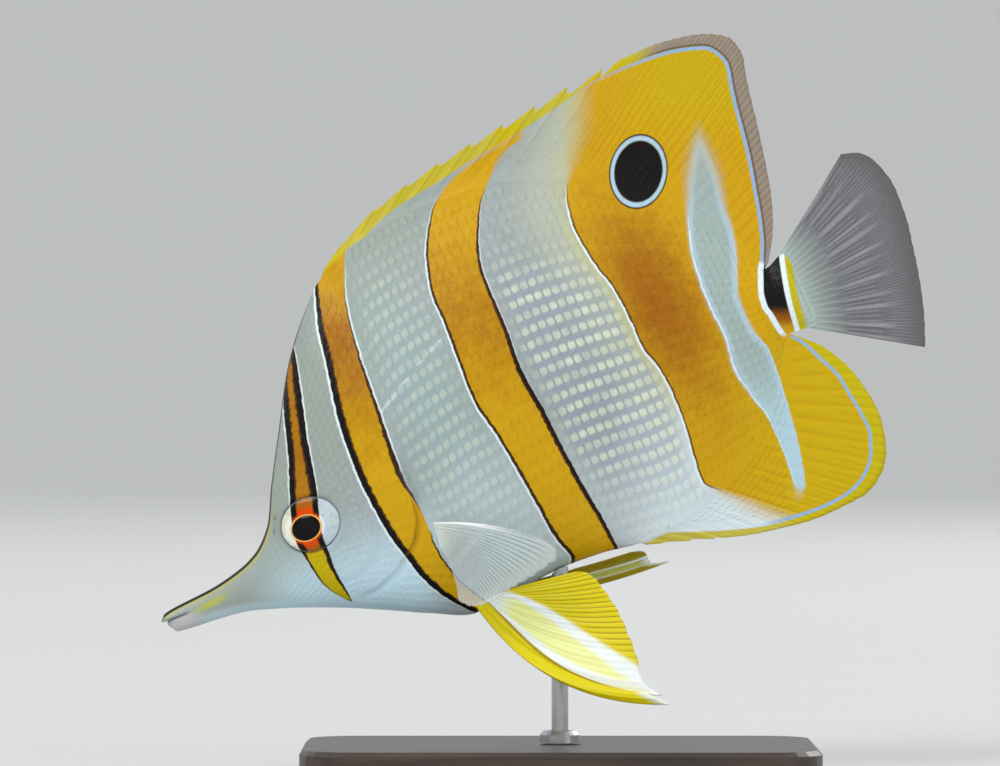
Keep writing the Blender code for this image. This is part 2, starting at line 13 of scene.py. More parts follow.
import bmesh
import bpy
import numpy as np
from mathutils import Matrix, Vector


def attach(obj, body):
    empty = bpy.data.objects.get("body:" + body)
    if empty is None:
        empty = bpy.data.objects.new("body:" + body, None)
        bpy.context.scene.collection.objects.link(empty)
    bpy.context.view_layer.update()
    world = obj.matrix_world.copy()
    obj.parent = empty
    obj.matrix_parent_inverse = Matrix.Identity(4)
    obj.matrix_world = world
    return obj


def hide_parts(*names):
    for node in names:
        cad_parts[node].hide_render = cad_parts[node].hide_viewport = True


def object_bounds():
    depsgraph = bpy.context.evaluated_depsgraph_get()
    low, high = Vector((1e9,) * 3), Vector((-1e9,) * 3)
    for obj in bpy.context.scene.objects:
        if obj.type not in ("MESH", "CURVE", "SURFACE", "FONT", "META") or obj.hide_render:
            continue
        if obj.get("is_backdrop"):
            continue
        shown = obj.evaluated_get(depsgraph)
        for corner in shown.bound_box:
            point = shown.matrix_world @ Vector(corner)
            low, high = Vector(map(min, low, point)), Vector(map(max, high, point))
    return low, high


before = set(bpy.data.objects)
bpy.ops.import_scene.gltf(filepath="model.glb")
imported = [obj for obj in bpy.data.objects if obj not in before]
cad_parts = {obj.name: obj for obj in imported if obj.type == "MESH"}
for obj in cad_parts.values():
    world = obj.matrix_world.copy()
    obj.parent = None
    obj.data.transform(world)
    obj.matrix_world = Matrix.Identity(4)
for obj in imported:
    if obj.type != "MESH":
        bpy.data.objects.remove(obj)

log = logging.getLogger("fish")

MM = 0.001

Grid = np.ndarray
Colour = tuple[float, float, float]
Path = Sequence[tuple[float, float]]
Material = bpy.types.Material
Object = bpy.types.Object
Socket = bpy.types.NodeSocket


class Side(IntEnum):
    """The fish's two sides, as the sign of y on each."""

    LEFT = -1
    RIGHT = 1

    @property
    def word(self) -> str:
        """The side's name as the pieces spell it."""
        return self.name.lower()


def srgb(red: float, green: float, blue: float) -> Colour:
    """A colour given as display values from 0 to 255, as the linear values that a shader takes."""
    shares = (v / 255 for v in (red, green, blue))
    return tuple(v / 12.92 if v <= 0.04045 else ((v + 0.055) / 1.055) ** 2.4 for v in shares)


def ramp(value: Grid, low: float, high: float) -> Grid:
    """Rises smoothly from 0 at low to 1 at high: 3t^2 - 2t^3 of the clipped share t."""
    t = np.clip((value - low) / (high - low), 0, 1)
    return t * t * (3 - 2 * t)


def fall(value: Grid, low: float, high: float) -> Grid:
    """Falls smoothly from 1 at low to 0 at high."""
    return 1 - ramp(value, low, high)


def bell(value: Grid, width: float) -> Grid:
    """A bump of height 1 at 0: e to the power of minus (value / width) squared."""
    return np.exp(-((value / width) ** 2))


class Curve:
    """A smooth curve through knots that never overshoots between them: a monotone cubic on each span."""

    def __init__(self, knots: dict) -> None:
        """Works out the slope at each knot as the weighted harmonic mean of its neighbours' slopes.

        Args:
            knots: value or tuple of values, by position.
        """
        self.at = np.array(sorted(knots), float)
        self.value = np.array([np.atleast_1d(knots[k]) for k in sorted(knots)], float)
        step = np.diff(self.at)[:, None]
        slope = np.diff(self.value, axis=0) / step
        self.tangent = np.zeros_like(self.value)
        same = slope[1:] * slope[:-1] > 0
        before, after = np.where(same, slope[:-1], 1), np.where(same, slope[1:], 1)
        first, second = 2 * step[1:] + step[:-1], step[1:] + 2 * step[:-1]
        mean = (first + second) / (first / before + second / after)
        self.tangent[1:-1] = np.where(same, mean, 0)
        self.tangent[0], self.tangent[-1] = slope[0], slope[-1]

    def __call__(self, s: Grid) -> Grid:
        """The curve's value, or row of values, at each position s, held at its ends.

        Args:
            s: the positions.

        Returns:
            A value or a row of values for each.
        """
        s = np.clip(np.asarray(s, float), self.at[0], self.at[-1])
        i = np.clip(np.searchsorted(self.at, s, side="right") - 1, 0, len(self.at) - 2)
        h = (self.at[i + 1] - self.at[i])[..., None]
        t = (s[..., None] - self.at[i][..., None]) / h
        found = (
            self.value[i] * (1 + 2 * t) * (1 - t) ** 2
            + self.tangent[i] * h * t * (1 - t) ** 2
            + self.value[i + 1] * t**2 * (3 - 2 * t)
            + self.tangent[i + 1] * h * t**2 * (t - 1)
        )
        return found[..., 0] if self.value.shape[1] == 1 else found

    def slope(self, s: Grid, reach: float = 0.05) -> Grid:
        """The curve's slope at s, from two values a little apart."""
        s = np.asarray(s, float)
        return (self(s + reach) - self(s - reach)) / (2 * reach)


def signed_distance(x: Grid, z: Grid, path: Path) -> Grid:
    """Distance in the side view from each point to a chain of straight runs, positive on its left side.

    Each run's nearest point is its start plus the clipped projection of the point on it, and the nearest run
    gives both the distance and the sign.

    Args:
        x: x in millimetres.
        z: z in millimetres.
        path: the chain's corners.

    Returns:
        The distances in millimetres.
    """
    corner = np.array(path, float)
    start, run = corner[:-1], np.diff(corner, axis=0)
    best = np.full(x.shape, np.inf)
    signed = np.zeros(x.shape)
    for (ax, az), (dx, dz) in zip(start, run):
        share = np.clip(((x - ax) * dx + (z - az) * dz) / (dx * dx + dz * dz), 0, 1)
        away = np.hypot(x - ax - share * dx, z - az - share * dz)
        side = np.sign(dx * (z - az) - dz * (x - ax))
        closer = away < best - 1e-9
        best = np.where(closer, away, best)
        signed = np.where(closer, away * side, signed)
    return signed


def eased(path: Path, parts: int = 3) -> Path:
    """A chain of points with its corners rounded: a smooth curve through them, cut into short runs.

    Args:
        path: the points.
        parts: how many runs take the place of each one.

    Returns:
        The finer chain.
    """
    corner = np.array(path, float)
    far = np.append(0, np.cumsum(np.hypot(*np.diff(corner, axis=0).T)))
    along = np.interp(np.arange((len(far) - 1) * parts + 1) / parts, np.arange(len(far)), far)
    return Curve({float(s): tuple(p) for s, p in zip(far, corner)})(along).tolist()


@dataclass(frozen=True)
class Pose:
    """How the fish hangs over the stand: nose down, with the mouth's tip at a place over the table."""

    nose_down: float = math.radians(25)
    mouth_x: float = -71.1
    mouth_z: float = 27.8

    def side_view(self, x: Grid, z: Grid) -> tuple[Grid, Grid]:
        """The posed X and Z of points given by the fish's own x and z, all in millimetres."""
        cos, sin = math.cos(self.nose_down), math.sin(self.nose_down)
        return self.mouth_x + x * cos - z * sin, self.mouth_z + x * sin + z * cos

    def place(self, points: Grid) -> Grid:
        """Points of the fish's frame in millimetres, as posed points in metres."""
        x, z = self.side_view(points[..., 0], points[..., 2])
        return np.stack([x, points[..., 1], z], -1) * MM


POSE = Pose()


@dataclass(frozen=True)
class Form:
    """The fish's flesh: its outline in the side view, and half its thickness at every point of that view.

    The pairs of heights are the depth and the rim of the orbit and of a nostril. For the gill cover and the
    cheek they are the rise of the free edge and the depth of the slit behind it.
    """

    top: Curve = Curve({
        0: 0.5, 0.8: 1.0, 3: 1.35, 10: 1.6, 16: 2.5, 20: 3.9, 24: 7.2, 28: 13.8, 33: 21.6, 40: 32.2, 46: 38.9,
        51.4: 43.4, 60: 46.4, 70: 47.6, 80: 47.0, 90: 44.5, 100: 40.5, 108: 35.5, 114: 29, 118: 22.5,
        122: 15.3, 124.5: 11.6, 127.5: 12.7,
    })
    bottom: Curve = Curve({
        0: -1.6, 0.7: -2.6, 3: -3.05, 10: -3.9, 14: -4.6, 20: -6.7, 30: -11.2, 39: -16.0, 44: -18.8,
        52: -22.3, 60: -21.9, 68: -21.4, 76: -22.0, 84: -23.3, 92: -22.8, 100: -20.5, 106: -17.5, 112: -13,
        117: -8, 120: -4.6, 123.3: -0.7, 127.5: -1.3,
    })
    level: Curve = Curve({
        0: -0.6, 10: -1.1, 20: -1.2, 26: 1.5, 32: 4.3, 40: 6, 50: 9, 65: 12, 80: 13, 95: 11.5, 108: 9,
        118: 6.5, 127.5: 5.7,
    })
    width: Curve = Curve({
        0: 1.15, 1: 1.6, 5: 1.8, 12: 2.25, 18: 3.0, 24: 4.9, 31: 7.0, 38: 8.4, 46: 9.3, 56: 9.8, 66: 9.5,
        80: 8.2, 95: 6.3, 108: 4.6, 118: 3.3, 127.5: 2.7,
    })
    round_top: Curve = Curve({0: 1, 44: 1, 54: 0, 124: 0, 127.5: 0.6})
    round_bottom: Curve = Curve({0: 1, 74: 1, 86: 0, 123: 0, 127.5: 0.6})
    root_top: Curve = Curve({0: 0.03, 46: 0.03, 56: 1.15, 115: 1.1, 127.5: 0.9})
    root_bottom: Curve = Curve({0: 0.03, 76: 0.03, 88: 1.15, 115: 1.1, 127.5: 0.9})
    coat: float = 0.1
    eye: tuple[float, float] = (31.7, 4.6)
    eye_radii: tuple[float, float] = (5.4, 4.75)
    gill_edge: Path = (
        (50.5, 9.4), (50.5, 4.4), (50.3, 0.6), (49.5, -3.0), (47.5, -6.0), (45.3, -7.7), (42.0, -9.7),
        (37.8, -10.9), (32.9, -11.0),
    )
    cheek_edge: Path = ((41.5, 9.0), (42.6, 3.0), (42.2, -2.0), (39.6, -5.6), (35.2, -7.2), (29.0, -6.2))
    nostrils: Path = ((25.2, 6.0), (26.3, 8.2))
    lateral_line: Path = (
        (46.6, 14.1), (52.5, 17.9), (57.4, 20.5), (62.5, 22.9), (69.8, 26.0), (76.3, 27.3), (82.3, 27.0),
        (88.5, 25.9), (93.8, 24.6), (100.5, 22.1), (106.6, 18.1), (112.2, 13.3), (117.8, 8.5), (123.7, 6.3),
    )
    mouth_end: float = 5.6
    brow: float = 0.5
    orbit: tuple[float, float] = (1.7, 0.17)
    gill_lift: tuple[float, float] = (0.4, 0.5)
    cheek_lift: tuple[float, float] = (0.08, 0.04)
    lip_lift: float = 0.12
    nostril: tuple[float, float] = (0.7, 0.13)
    thinnest: float = 0.03

    def share(self, x: Grid, z: Grid) -> Grid:
        """How far a point lies from the widest level to the outline, from 0 to 1.

        Args:
            x: x in millimetres.
            z: z in millimetres.

        Returns:
            The share at each point.
        """
        level = self.level(x)
        reach = np.where(z >= level, self.top(x) - level, level - self.bottom(x))
        return np.clip(np.abs(z - level) / np.maximum(reach, 0.01), 0, 1)

    def plain(self, x: Grid, z: Grid) -> Grid:
        """Half the thickness with no detail, and with a low brow. The bare head and belly are an oval
        section, wide * sqrt(1 - t^2.3). It blends into a lens that ends in the fin's root, which is
        edge + (wide - edge) * (1 - t^2)^1.3.

        Args:
            x: x in millimetres.
            z: z in millimetres.

        Returns:
            Half the thickness in millimetres.
        """
        above = z >= self.level(x)
        t = self.share(x, z)
        wide = self.width(x) - self.coat
        roundness = np.where(above, self.round_top(x), self.round_bottom(x))
        edge = np.where(above, self.root_top(x), self.root_bottom(x))
        oval = np.maximum(wide * np.sqrt(1 - t**2.3), edge)
        lens = edge + (wide - edge) * (1 - t**2) ** 1.3
        brow = self.brow * np.exp(-((x - self.eye[0]) ** 2 + (z - self.eye[1]) ** 2) / 60) * (1 - t**6)
        closing = 1 - 0.85 * ramp(x, 127.0, 130.0)
        return (roundness * oval + (1 - roundness) * lens + brow) * closing * self.tip_round(x)

    def lean(self, x: Grid, z: Grid, reach: float = 0.1) -> Grid:
        """The plain form's slope up the side, dh/dz, from two values a little apart."""
        return (self.plain(x, z + reach) - self.plain(x, z - reach)) / (2 * reach)

    def tip_round(self, x: Grid) -> Grid:
        """How the lips round off towards the very tip: the square root of 1 - (1 - x / 1.3)^2."""
        return np.sqrt(np.clip(1 - (1 - np.clip(x / 1.3, 0.002, 1)) ** 2, 0, 1))

    def eye_share(self, x: Grid, z: Grid) -> Grid:
        """Distance from the middle of the eye, as a share of its oval rim."""
        return np.hypot((x - self.eye[0]) / self.eye_radii[0], (z - self.eye[1]) / self.eye_radii[1])

    def gill(self, x: Grid, z: Grid) -> Grid:
        """Distance in front of the gill cover's free margin, negative behind it."""
        return -signed_distance(x, z, self.gill_edge)

    def orbit_detail(self, x: Grid, z: Grid) -> Grid:
        """The hollow that holds the eye, with its raised rim."""
        eye = self.eye_share(x, z)
        return self.orbit[1] * bell(eye - 1.12, 0.08) - self.orbit[0] * fall(eye, 0.8, 1.05)

    def gill_detail(self, x: Grid, z: Grid) -> Grid:
        """The raised gill cover with the slit behind it, and the cheek's edge.

        Args:
            x: x in millimetres.
            z: z in millimetres.

        Returns:
            What they add to the half thickness.
        """
        gill, cheek = self.gill(x, z), -signed_distance(x, z, self.cheek_edge)
        rise, slit = self.gill_lift
        free = fall(z, 5.5, 9.5) * ramp(x, 32.5, 37) * (0.3 + 0.7 * ramp(x, 42, 48))
        cover = (rise * ramp(gill, 0.0, 0.45) * fall(gill, 1.5, 9) - slit * bell(gill + 0.25, 0.38)) * free
        rise, slit = self.cheek_lift
        edge = rise * ramp(cheek, -0.3, 0.3) * fall(cheek, 0.3, 4) - slit * bell(cheek + 0.4, 0.5)
        return cover + edge * fall(z, 4, 9) * ramp(x, 29, 34)

    def mouth_detail(self, x: Grid, z: Grid) -> Grid:
        """The mouth's slit between the lips, which is shallower towards its corner.

        Args:
            x: x in millimetres.
            z: z in millimetres.

        Returns:
            What it adds to the half thickness.
        """
        closing, line = fall(x, self.mouth_end - 1.4, self.mouth_end), z - self.mouth(x)
        lips = self.lip_lift * bell(np.abs(line) - 0.62, 0.36) * fall(x, 1.5, 4.5)
        return (lips - self.width(x) * (0.5 - 0.04 * x) * bell(line, 0.17)) * closing

    def detail(self, x: Grid, z: Grid) -> Grid:
        """What is added to the half thickness. It dies away at the outline, apart from the lips.

        Args:
            x: x in millimetres.
            z: z in millimetres.

        Returns:
            The height of the detail in millimetres, negative in a hollow.
        """
        added = self.orbit_detail(x, z) + self.gill_detail(x, z) + self.mouth_detail(x, z)
        hollow, rim = self.nostril
        for at_x, at_z in self.nostrils:
            away = np.hypot(x - at_x, z - at_z)
            added += rim * bell(away - 0.5, 0.18) - hollow * bell(away, 0.32)
        return added * (1 - 0.999 * ramp(self.share(x, z), 0.93, 1.0) * ramp(x, 6, 9))

    def mouth(self, x: Grid) -> Grid:
        """The height of the mouth's line: it falls a little towards its corner."""
        return -0.25 - 0.06 * x

    def lips(self, x: Grid, z: Grid) -> Grid:
        """How far aft a point of the tip moves: each lip is rounded in the side view, and the lower one
        starts 0.8 mm behind the upper one. The shift is gone 6 mm from the tip.

        Args:
            x: x in millimetres.
            z: z in millimetres.

        Returns:
            The shift in millimetres.
        """
        lower = z < self.mouth(x)
        middle = np.where(lower, (self.mouth(x) + self.bottom(x)) / 2, (self.mouth(x) + self.top(x)) / 2)
        reach = np.where(lower, self.mouth(x) - self.bottom(x), self.top(x) - self.mouth(x)) / 2
        off = np.clip(np.abs(z - middle) / np.maximum(reach, 0.05), 0, 1)
        rounding = 0.55 * (1 - np.sqrt(1 - 0.96 * off**2)) * fall(x, 0, 1.2)
        return rounding + 0.8 * lower * fall(x, 0, 6)

    def half(self, x: Grid, z: Grid) -> Grid:
        """Half the thickness of the skin at a point of the side view."""
        return np.maximum(self.plain(x, z) + self.detail(x, z), self.thinnest)

    def normal(self, x: Grid, z: Grid, reach: float = 0.06) -> Grid:
        """The outward direction on the fish's right side: (-dh/dx, 1, -dh/dz), scaled to length 1.

        Args:
            x: x in millimetres.
            z: z in millimetres.
            reach: how far to either side the form is compared.

        Returns:
            A direction for each point.
        """
        along = (self.half(x + reach, z) - self.half(x - reach, z)) / (2 * reach)
        upward = (self.half(x, z + reach) - self.half(x, z - reach)) / (2 * reach)
        along, upward = np.clip(along, -4, 4), np.clip(upward, -4, 4)
        found = np.stack([-along, np.ones_like(along), -upward], -1)
        return found / np.linalg.norm(found, axis=-1, keepdims=True)


FORM = Form()


@dataclass(frozen=True)
class UprightFin:
    """A fin in the fish's middle plane. Its rays run straight from the flesh at s to the edge at that s."""

    start: float
    end: float
    foot: Curve
    edge: Curve
    root: Curve
    spines: int
    spines_end: float
    rays: int
    notch: float
    membrane: float = 0.17
    ray: float = 0.08
    spine: float = 0.36
    scallop: float = 0.004
    cuts: tuple[tuple[float, ...], tuple[float, ...]] = (
        (0, 0.27, 0.52, 0.55, 0.59, 0.68, 0.95, 1), (0.9, 0.35, 0.05, 0, 0.3, 0.75, 1, 0.9),
    )

    @property
    def pitch(self) -> float:
        """The distance between two spines along the base."""
        return (self.spines_end - self.start) / self.spines

    @property
    def spine_places(self) -> Grid:
        """Where each spine stands along the base."""
        return self.start + (np.arange(self.spines) + 0.55) * self.pitch

    def tip(self, s: Grid) -> Grid:
        """Where the ray at s ends. The membrane is cut back behind each spine's tip, by shares of the notch
        that follow the place between two spines, and scalloped a little between the soft rays.

        Args:
            s: places along the base.

        Returns:
            x and z of each ray's end.
        """
        along = (s - self.start) / self.pitch
        cut = self.notch * np.interp(along - np.floor(along), *self.cuts)
        cut *= fall(s, self.spines_end - 0.35 * self.pitch, self.spines_end)
        cut += self.scallop * (0.5 + 0.5 * np.cos(2 * math.pi * self.ray_number(s))) * (s >= self.spines_end)
        return self.edge(s) - self.run(s) * cut[..., None]

    def run(self, s: Grid) -> Grid:
        """The straight run from the foot to the edge at s."""
        return self.edge(s) - np.stack([s, self.foot(s)], -1)

    def ray_number(self, s: Grid) -> Grid:
        """Counts the spines and rays along the base. Each stands at a whole number and a half."""
        soft = (s - self.spines_end) * self.rays / (self.end - self.spines_end)
        return np.where(s < self.spines_end, (s - self.start) / self.pitch - 0.05, self.spines + soft)

    def half(self, s: Grid, share: Grid) -> Grid:
        """Half the fin's thickness: the root's thickness dying away as e^(-d/3.5), plus a membrane with a
        rounded ridge on each ray: spines taper to their tips, and soft rays are cosine ridges.

        Args:
            s: places along the base.
            share: how far out along the ray, from 0 to 1.

        Returns:
            Half the thickness in millimetres.
        """
        fade = np.exp(-share * self.length(s) / 3.5)
        phase = self.ray_number(s)
        phase = phase - np.floor(phase) - 0.5
        stout = self.spine * (1 - 0.65 * share) * bell(phase * self.pitch, 0.42) * ramp(share, 0.2, 0.6)
        fine = self.ray * (0.5 + 0.5 * np.cos(2 * math.pi * phase)) ** 1.4 * (1 - 0.4 * share)
        blade = self.membrane * (1 - 0.45 * share**2) + np.where(s < self.spines_end, stout, fine)
        return self.root(s) * fade + blade * (1 - fade)

    def length(self, s: Grid) -> Grid:
        """The length of the ray at s."""
        return np.hypot(*np.moveaxis(self.run(s), -1, 0))

    def place(self, s: Grid, share: Grid, side: int, lift: Grid | float = 0.0) -> Grid:
        """Points on one face of the fin, at a share of the way from foot to tip.

        Args:
            s: places along the base.
            share: how far out along the ray, from 0 to 1.
            side: the sign of y on that face.
            lift: how far the points stand off it.

        Returns:
            x, y and z of each place, in millimetres.
        """
        foot = np.stack([s, self.foot(s)], -1)
        flat = foot + (self.tip(s) - foot) * share[..., None]
        y = side * (self.half(s, share) + lift)
        return np.stack([flat[..., 0], y, flat[..., 1]], -1)


DORSAL = UprightFin(
    start=51.8, end=124.2, foot=FORM.top, root=FORM.root_top, spines=9, spines_end=95.0, rays=29, notch=0.13,
    edge=Curve({
        51: (51.6, 44.2), 55: (58.2, 47.8), 60: (66.5, 51.0), 70: (81.0, 53.6), 80: (95.0, 55.0),
        90: (109, 56.2), 98: (121, 56.4), 103: (129.3, 55.2), 106: (134.0, 53.3), 108: (136.3, 51.2),
        110: (136.8, 48.2), 112: (135.7, 44.0), 116: (133.4, 33.2), 120: (130.8, 23.0), 122.5: (128.2, 16.8),
        124.2: (125.4, 12.6),
    }),
)
ANAL = UprightFin(
    start=83.4, end=123.2, foot=FORM.bottom, root=FORM.root_bottom, spines=3, spines_end=91.0, rays=20,
    notch=0.15,
    edge=Curve({
        83: (83.6, -23.9), 86: (89.0, -25.8), 90: (96.0, -28.4), 96: (105, -31.1), 102: (116, -32.8),
        106: (122.8, -32.6), 109: (127.6, -30.4), 112: (130.6, -26), 115: (131.9, -19.5), 118: (131.0, -12.6),
        121: (127.7, -5.2), 123.3: (124.2, -1.5),
    }),
)


@dataclass(frozen=True)
class Band:
    """One coloured band of the posed side view: the X of its front and rear edge at each height Z, and the
    lines along each edge, as the width of the dark line inside it, how black that is from 0 to 1, and the
    width of the pale line outside it, by height."""

    front: Curve
    rear: Curve
    front_line: Curve
    rear_line: Curve = Curve({0: (0.01, 0.0, 0.0), 1: (0.01, 0.0, 0.0)})
    lowest: float = -100.0

    def sides(self, x: Grid, z: Grid) -> tuple[Grid, Grid]:
        """The distances behind the front edge and before the rear one: along X, by the cosine of its lean."""
        ahead = (x - self.front(z)) / np.hypot(1, self.front.slope(z))
        return ahead, (self.rear(z) - x) / np.hypot(1, self.rear.slope(z))

    def inside(self, x: Grid, z: Grid) -> tuple[Grid, Grid]:
        """Where points lie in the band.

        Args:
            x: X in millimetres.
            z: Z in millimetres.

        Returns:
            The distance inside, negative outside, and the three values of the nearer edge's lines.
        """
        ahead, behind = self.sides(x, z)
        line = np.where((ahead < behind)[..., None], self.front_line(z), self.rear_line(z))
        inside, end = np.minimum(ahead, behind), z - self.lowest
        return np.minimum(inside, end), line * (inside < end)[..., None]


@dataclass(frozen=True)
class Oval:
    """A leaning oval of the posed side view."""

    middle: tuple[float, float]
    radii: tuple[float, float]
    lean: float

    def share(self, x: Grid, z: Grid) -> Grid:
        """How far out points lie, as a share of the way to the rim.

        Args:
            x: X in millimetres.
            z: Z in millimetres.

        Returns:
            0 in the middle and 1 on the rim.
        """
        cos, sin = math.cos(self.lean), math.sin(self.lean)
        dx, dz = x - self.middle[0], z - self.middle[1]
        return np.hypot((dx * cos - dz * sin) / self.radii[0], (dx * sin + dz * cos) / self.radii[1])


@dataclass(frozen=True)
class Markings:
    """The painted pattern, as fields over the posed side view in millimetres."""

    bands: tuple[Band, ...] = (
        Band(
            front=Curve({
                31.5: -37.2, 32.4: -39.0, 33.9: -41.3, 36.4: -43.4, 40.1: -45.6, 41.9: -46.7, 44.2: -47.4,
                47.8: -47.8, 51.4: -48.0, 56.7: -48.2, 62.1: -48.8, 67.4: -49.3, 72.8: -49.8, 78.1: -50.2,
            }),
            rear=Curve({
                31.5: -36.9, 33.9: -38.2, 36.3: -39.5, 38.3: -40.4, 41.0: -41.3, 43.3: -42.2, 48.0: -42.9,
                51.2: -43.2, 54.9: -43.9, 61.2: -45.1, 69.2: -46.2, 74.6: -47.1, 78.1: -47.9,
            }),
            front_line=Curve({
                32: (0.2, 0.2, 0), 36: (0.3, 0.4, 0), 40: (0.45, 0.7, 0), 43: (0.95, 1, 0.3),
                76: (0.9, 1, 0.4),
            }),
            rear_line=Curve({
                32: (0.2, 0.3, 0), 36: (0.5, 0.7, 0), 41: (0.75, 0.9, 0), 45: (1.1, 0.95, 0.2),
                66: (1.1, 0.9, 0.4), 78: (0.6, 0.8, 0.3),
            }),
            lowest=31.5,
        ),
        Band(
            front=Curve({
                29.6: -15.2, 31.4: -18.8, 33.9: -22.3, 36.5: -25.0, 39.2: -27.0, 42.4: -29.5,
                47.8: -32.7, 53.1: -35.4, 58.5: -37.5, 63.9: -39.3, 69.2: -40.5, 74.6: -41.6, 79.9: -42.9,
                87.1: -43.6, 92.1: -43.9,
            }),
            rear=Curve({
                30.6: -12.0, 32.4: -14.2, 35.2: -17.6, 37.1: -19.2, 40.6: -21.6, 45.4: -23.6, 49.6: -25.6,
                53.1: -27.6, 58.0: -29.5, 66.5: -32.5, 75.5: -35.7, 81.7: -37.5, 87.1: -38.4, 92.1: -38.4,
            }),
            front_line=Curve({
                30: (0.7, 0.9, 0.2), 36: (0.9, 1, 0.4), 75: (1, 1, 0.5), 86: (0.5, 0.9, 0.45),
                92: (0.3, 0.7, 0.2),
            }),
            rear_line=Curve({
                30: (0.3, 0.5, 0), 42: (0.3, 0.4, 0), 46: (0.15, 0, 0.1), 50: (0.3, 0.4, 0.1),
                54: (0.8, 0.75, 0.3), 60: (0.65, 0.7, 0.4), 72: (0.4, 0.5, 0.4), 84: (0.15, 0.3, 0.4),
                92: (0.1, 0, 0.2),
            }),
        ),
        Band(
            front=Curve({
                39.6: 2.0, 43.1: -0.9, 48.3: -3.8, 53.7: -6.8, 61.0: -11.1, 67.2: -15.2, 73.5: -17.7,
                80.3: -20.2, 87.6: -23.1, 94.2: -23.8, 100.5: -23.0, 104.0: -21.4, 107.6: -18.4,
                110.8: -14.6, 113.3: -11.5,
            }),
            rear=Curve({
                39.6: 11.1, 42.4: 9.6, 47.2: 7.1, 51.9: 4.3, 58.9: 0.5, 65.8: -3.0, 72.6: -6.8, 80.3: -9.6,
                86.9: -12.5, 92.4: -14.3, 96.0: -14.6, 101.4: -14.3, 107.1: -12.5, 111.7: -9.8, 114.2: -6.8,
            }),
            front_line=Curve({
                40: (0.6, 0.75, 0.4), 60: (0.45, 0.6, 0.45), 92: (0.35, 0.5, 0.4), 101: (0.25, 0.3, 0.25),
                106: (0.1, 0, 0.1),
            }),
            rear_line=Curve({
                40: (0.5, 0.65, 0), 47: (0.7, 0.85, 0.1), 70: (0.75, 0.85, 0.2), 88: (0.45, 0.6, 0.3),
                100: (0.3, 0.4, 0.25), 108: (0.15, 0, 0.1),
            }),
        ),
        Band(
            front=Curve({
                45.6: 41.1, 47.4: 36.6, 49.8: 31.6, 51.5: 27.7, 52.6: 25.7, 57.4: 23.9, 62.4: 22.5,
                67.6: 20.5, 72.6: 18.0, 76.7: 14.8, 82.2: 12.3, 87.2: 9.6, 91.4: 6.4, 96.0: 3.6,
                98.7: 2.3, 104.0: 1.2, 110.8: 2.3, 116.5: 3.4, 121.9: 3.7, 127.0: 3.0,
            }),
            rear=Curve({0: 200, 150: 200}),
            front_line=Curve({
                50: (0.3, 0.35, 0.46), 98: (0.3, 0.35, 0.46), 105: (0.2, 0.2, 0.25), 108: (0.05, 0, 0),
            }),
        ),
    )
    gap: Band = Band(
        front=Curve({
            49.0: 46.0, 50.8: 43.0, 52.2: 41.9, 54.9: 41.0, 59.4: 39.3, 64.8: 36.6, 68.3: 33.9, 72.8: 30.9,
            78.3: 29.3, 84.2: 26.4, 88.9: 24.6, 94.2: 23.2, 99.8: 22.7, 105.6: 22.9, 112.1: 23.9,
            117.4: 26.5, 122.0: 30.0,
        }),
        rear=Curve({
            49.0: 40.0, 50.8: 43.0, 52.2: 43.8, 56.7: 43.2, 62.1: 42.0, 68.3: 40.2, 73.7: 38.4, 76.7: 37.1,
            79.8: 34.5, 83.9: 32.5, 87.1: 31.6, 91.5: 31.6, 96.5: 31.1, 101.2: 29.6, 108.0: 27.9, 113.0: 25.7,
            117.4: 23.0, 122.0: 18.0,
        }),
        front_line=Curve({
            62: (0.01, 0, 0.25), 72: (0.01, 0, 0.45), 96: (0.01, 0, 0.45), 104: (0.01, 0, 0.2),
        }),
        rear_line=Curve({62: (0.01, 0, 0.1), 72: (0.01, 0, 0.25), 96: (0.01, 0, 0.25), 104: (0.01, 0, 0.1)}),
    )
    bar: Band = Band(
        front=Curve({79.0: 40.4, 80.8: 39.1, 82.8: 37.9, 84.2: 36.9, 87.2: 36.2, 90.1: 36.2, 93.3: 36.8}),
        rear=Curve({79.0: 42.1, 80.5: 41.7, 83.8: 40.7, 87.2: 39.9, 91.3: 39.3, 93.3: 39.1}),
        front_line=Curve({0: 0.9, 1: 0.9}),
    )
    bar_ends: tuple[float, float] = (79.2, 94.0)
    back_line: Path = (
        (-38.4, 91.0), (-34.8, 96.0), (-30.4, 100.5), (-25.9, 103.5), (-21.4, 106.2), (-14.3, 110.8),
        (-6.2, 115.6), (1.8, 121.0), (5.7, 124.0), (7.9, 125.1), (14.3, 127.8), (21.4, 129.9), (25.9, 130.3),
        (28.2, 129.2), (29.8, 127.3), (30.5, 123.7), (31.3, 120.1), (32.5, 115.6), (33.6, 111.2),
        (34.8, 104.9), (35.7, 99.6), (36.1, 95.1), (35.9, 91.0),
    )
    belly_line: Path = (
        (40.2, 79.2), (42.9, 78.0), (46.4, 74.9), (49.6, 71.9), (51.8, 68.3), (53.9, 64.8), (55.4, 61.2),
        (55.5, 57.6), (54.6, 54.6), (52.7, 51.9), (50.0, 49.9), (45.5, 47.8), (41.1, 46.4), (35.7, 45.1),
        (28.6, 44.4), (23.2, 44.2), (17.0, 44.0),
    )
    spot: Oval = Oval((14.0, 108.2), (4.2, 5.45), math.radians(9))
    deepest: Oval = Oval((17.5, 85.0), (9.0, 22.0), math.radians(-27))
    halfway: float = 84.0

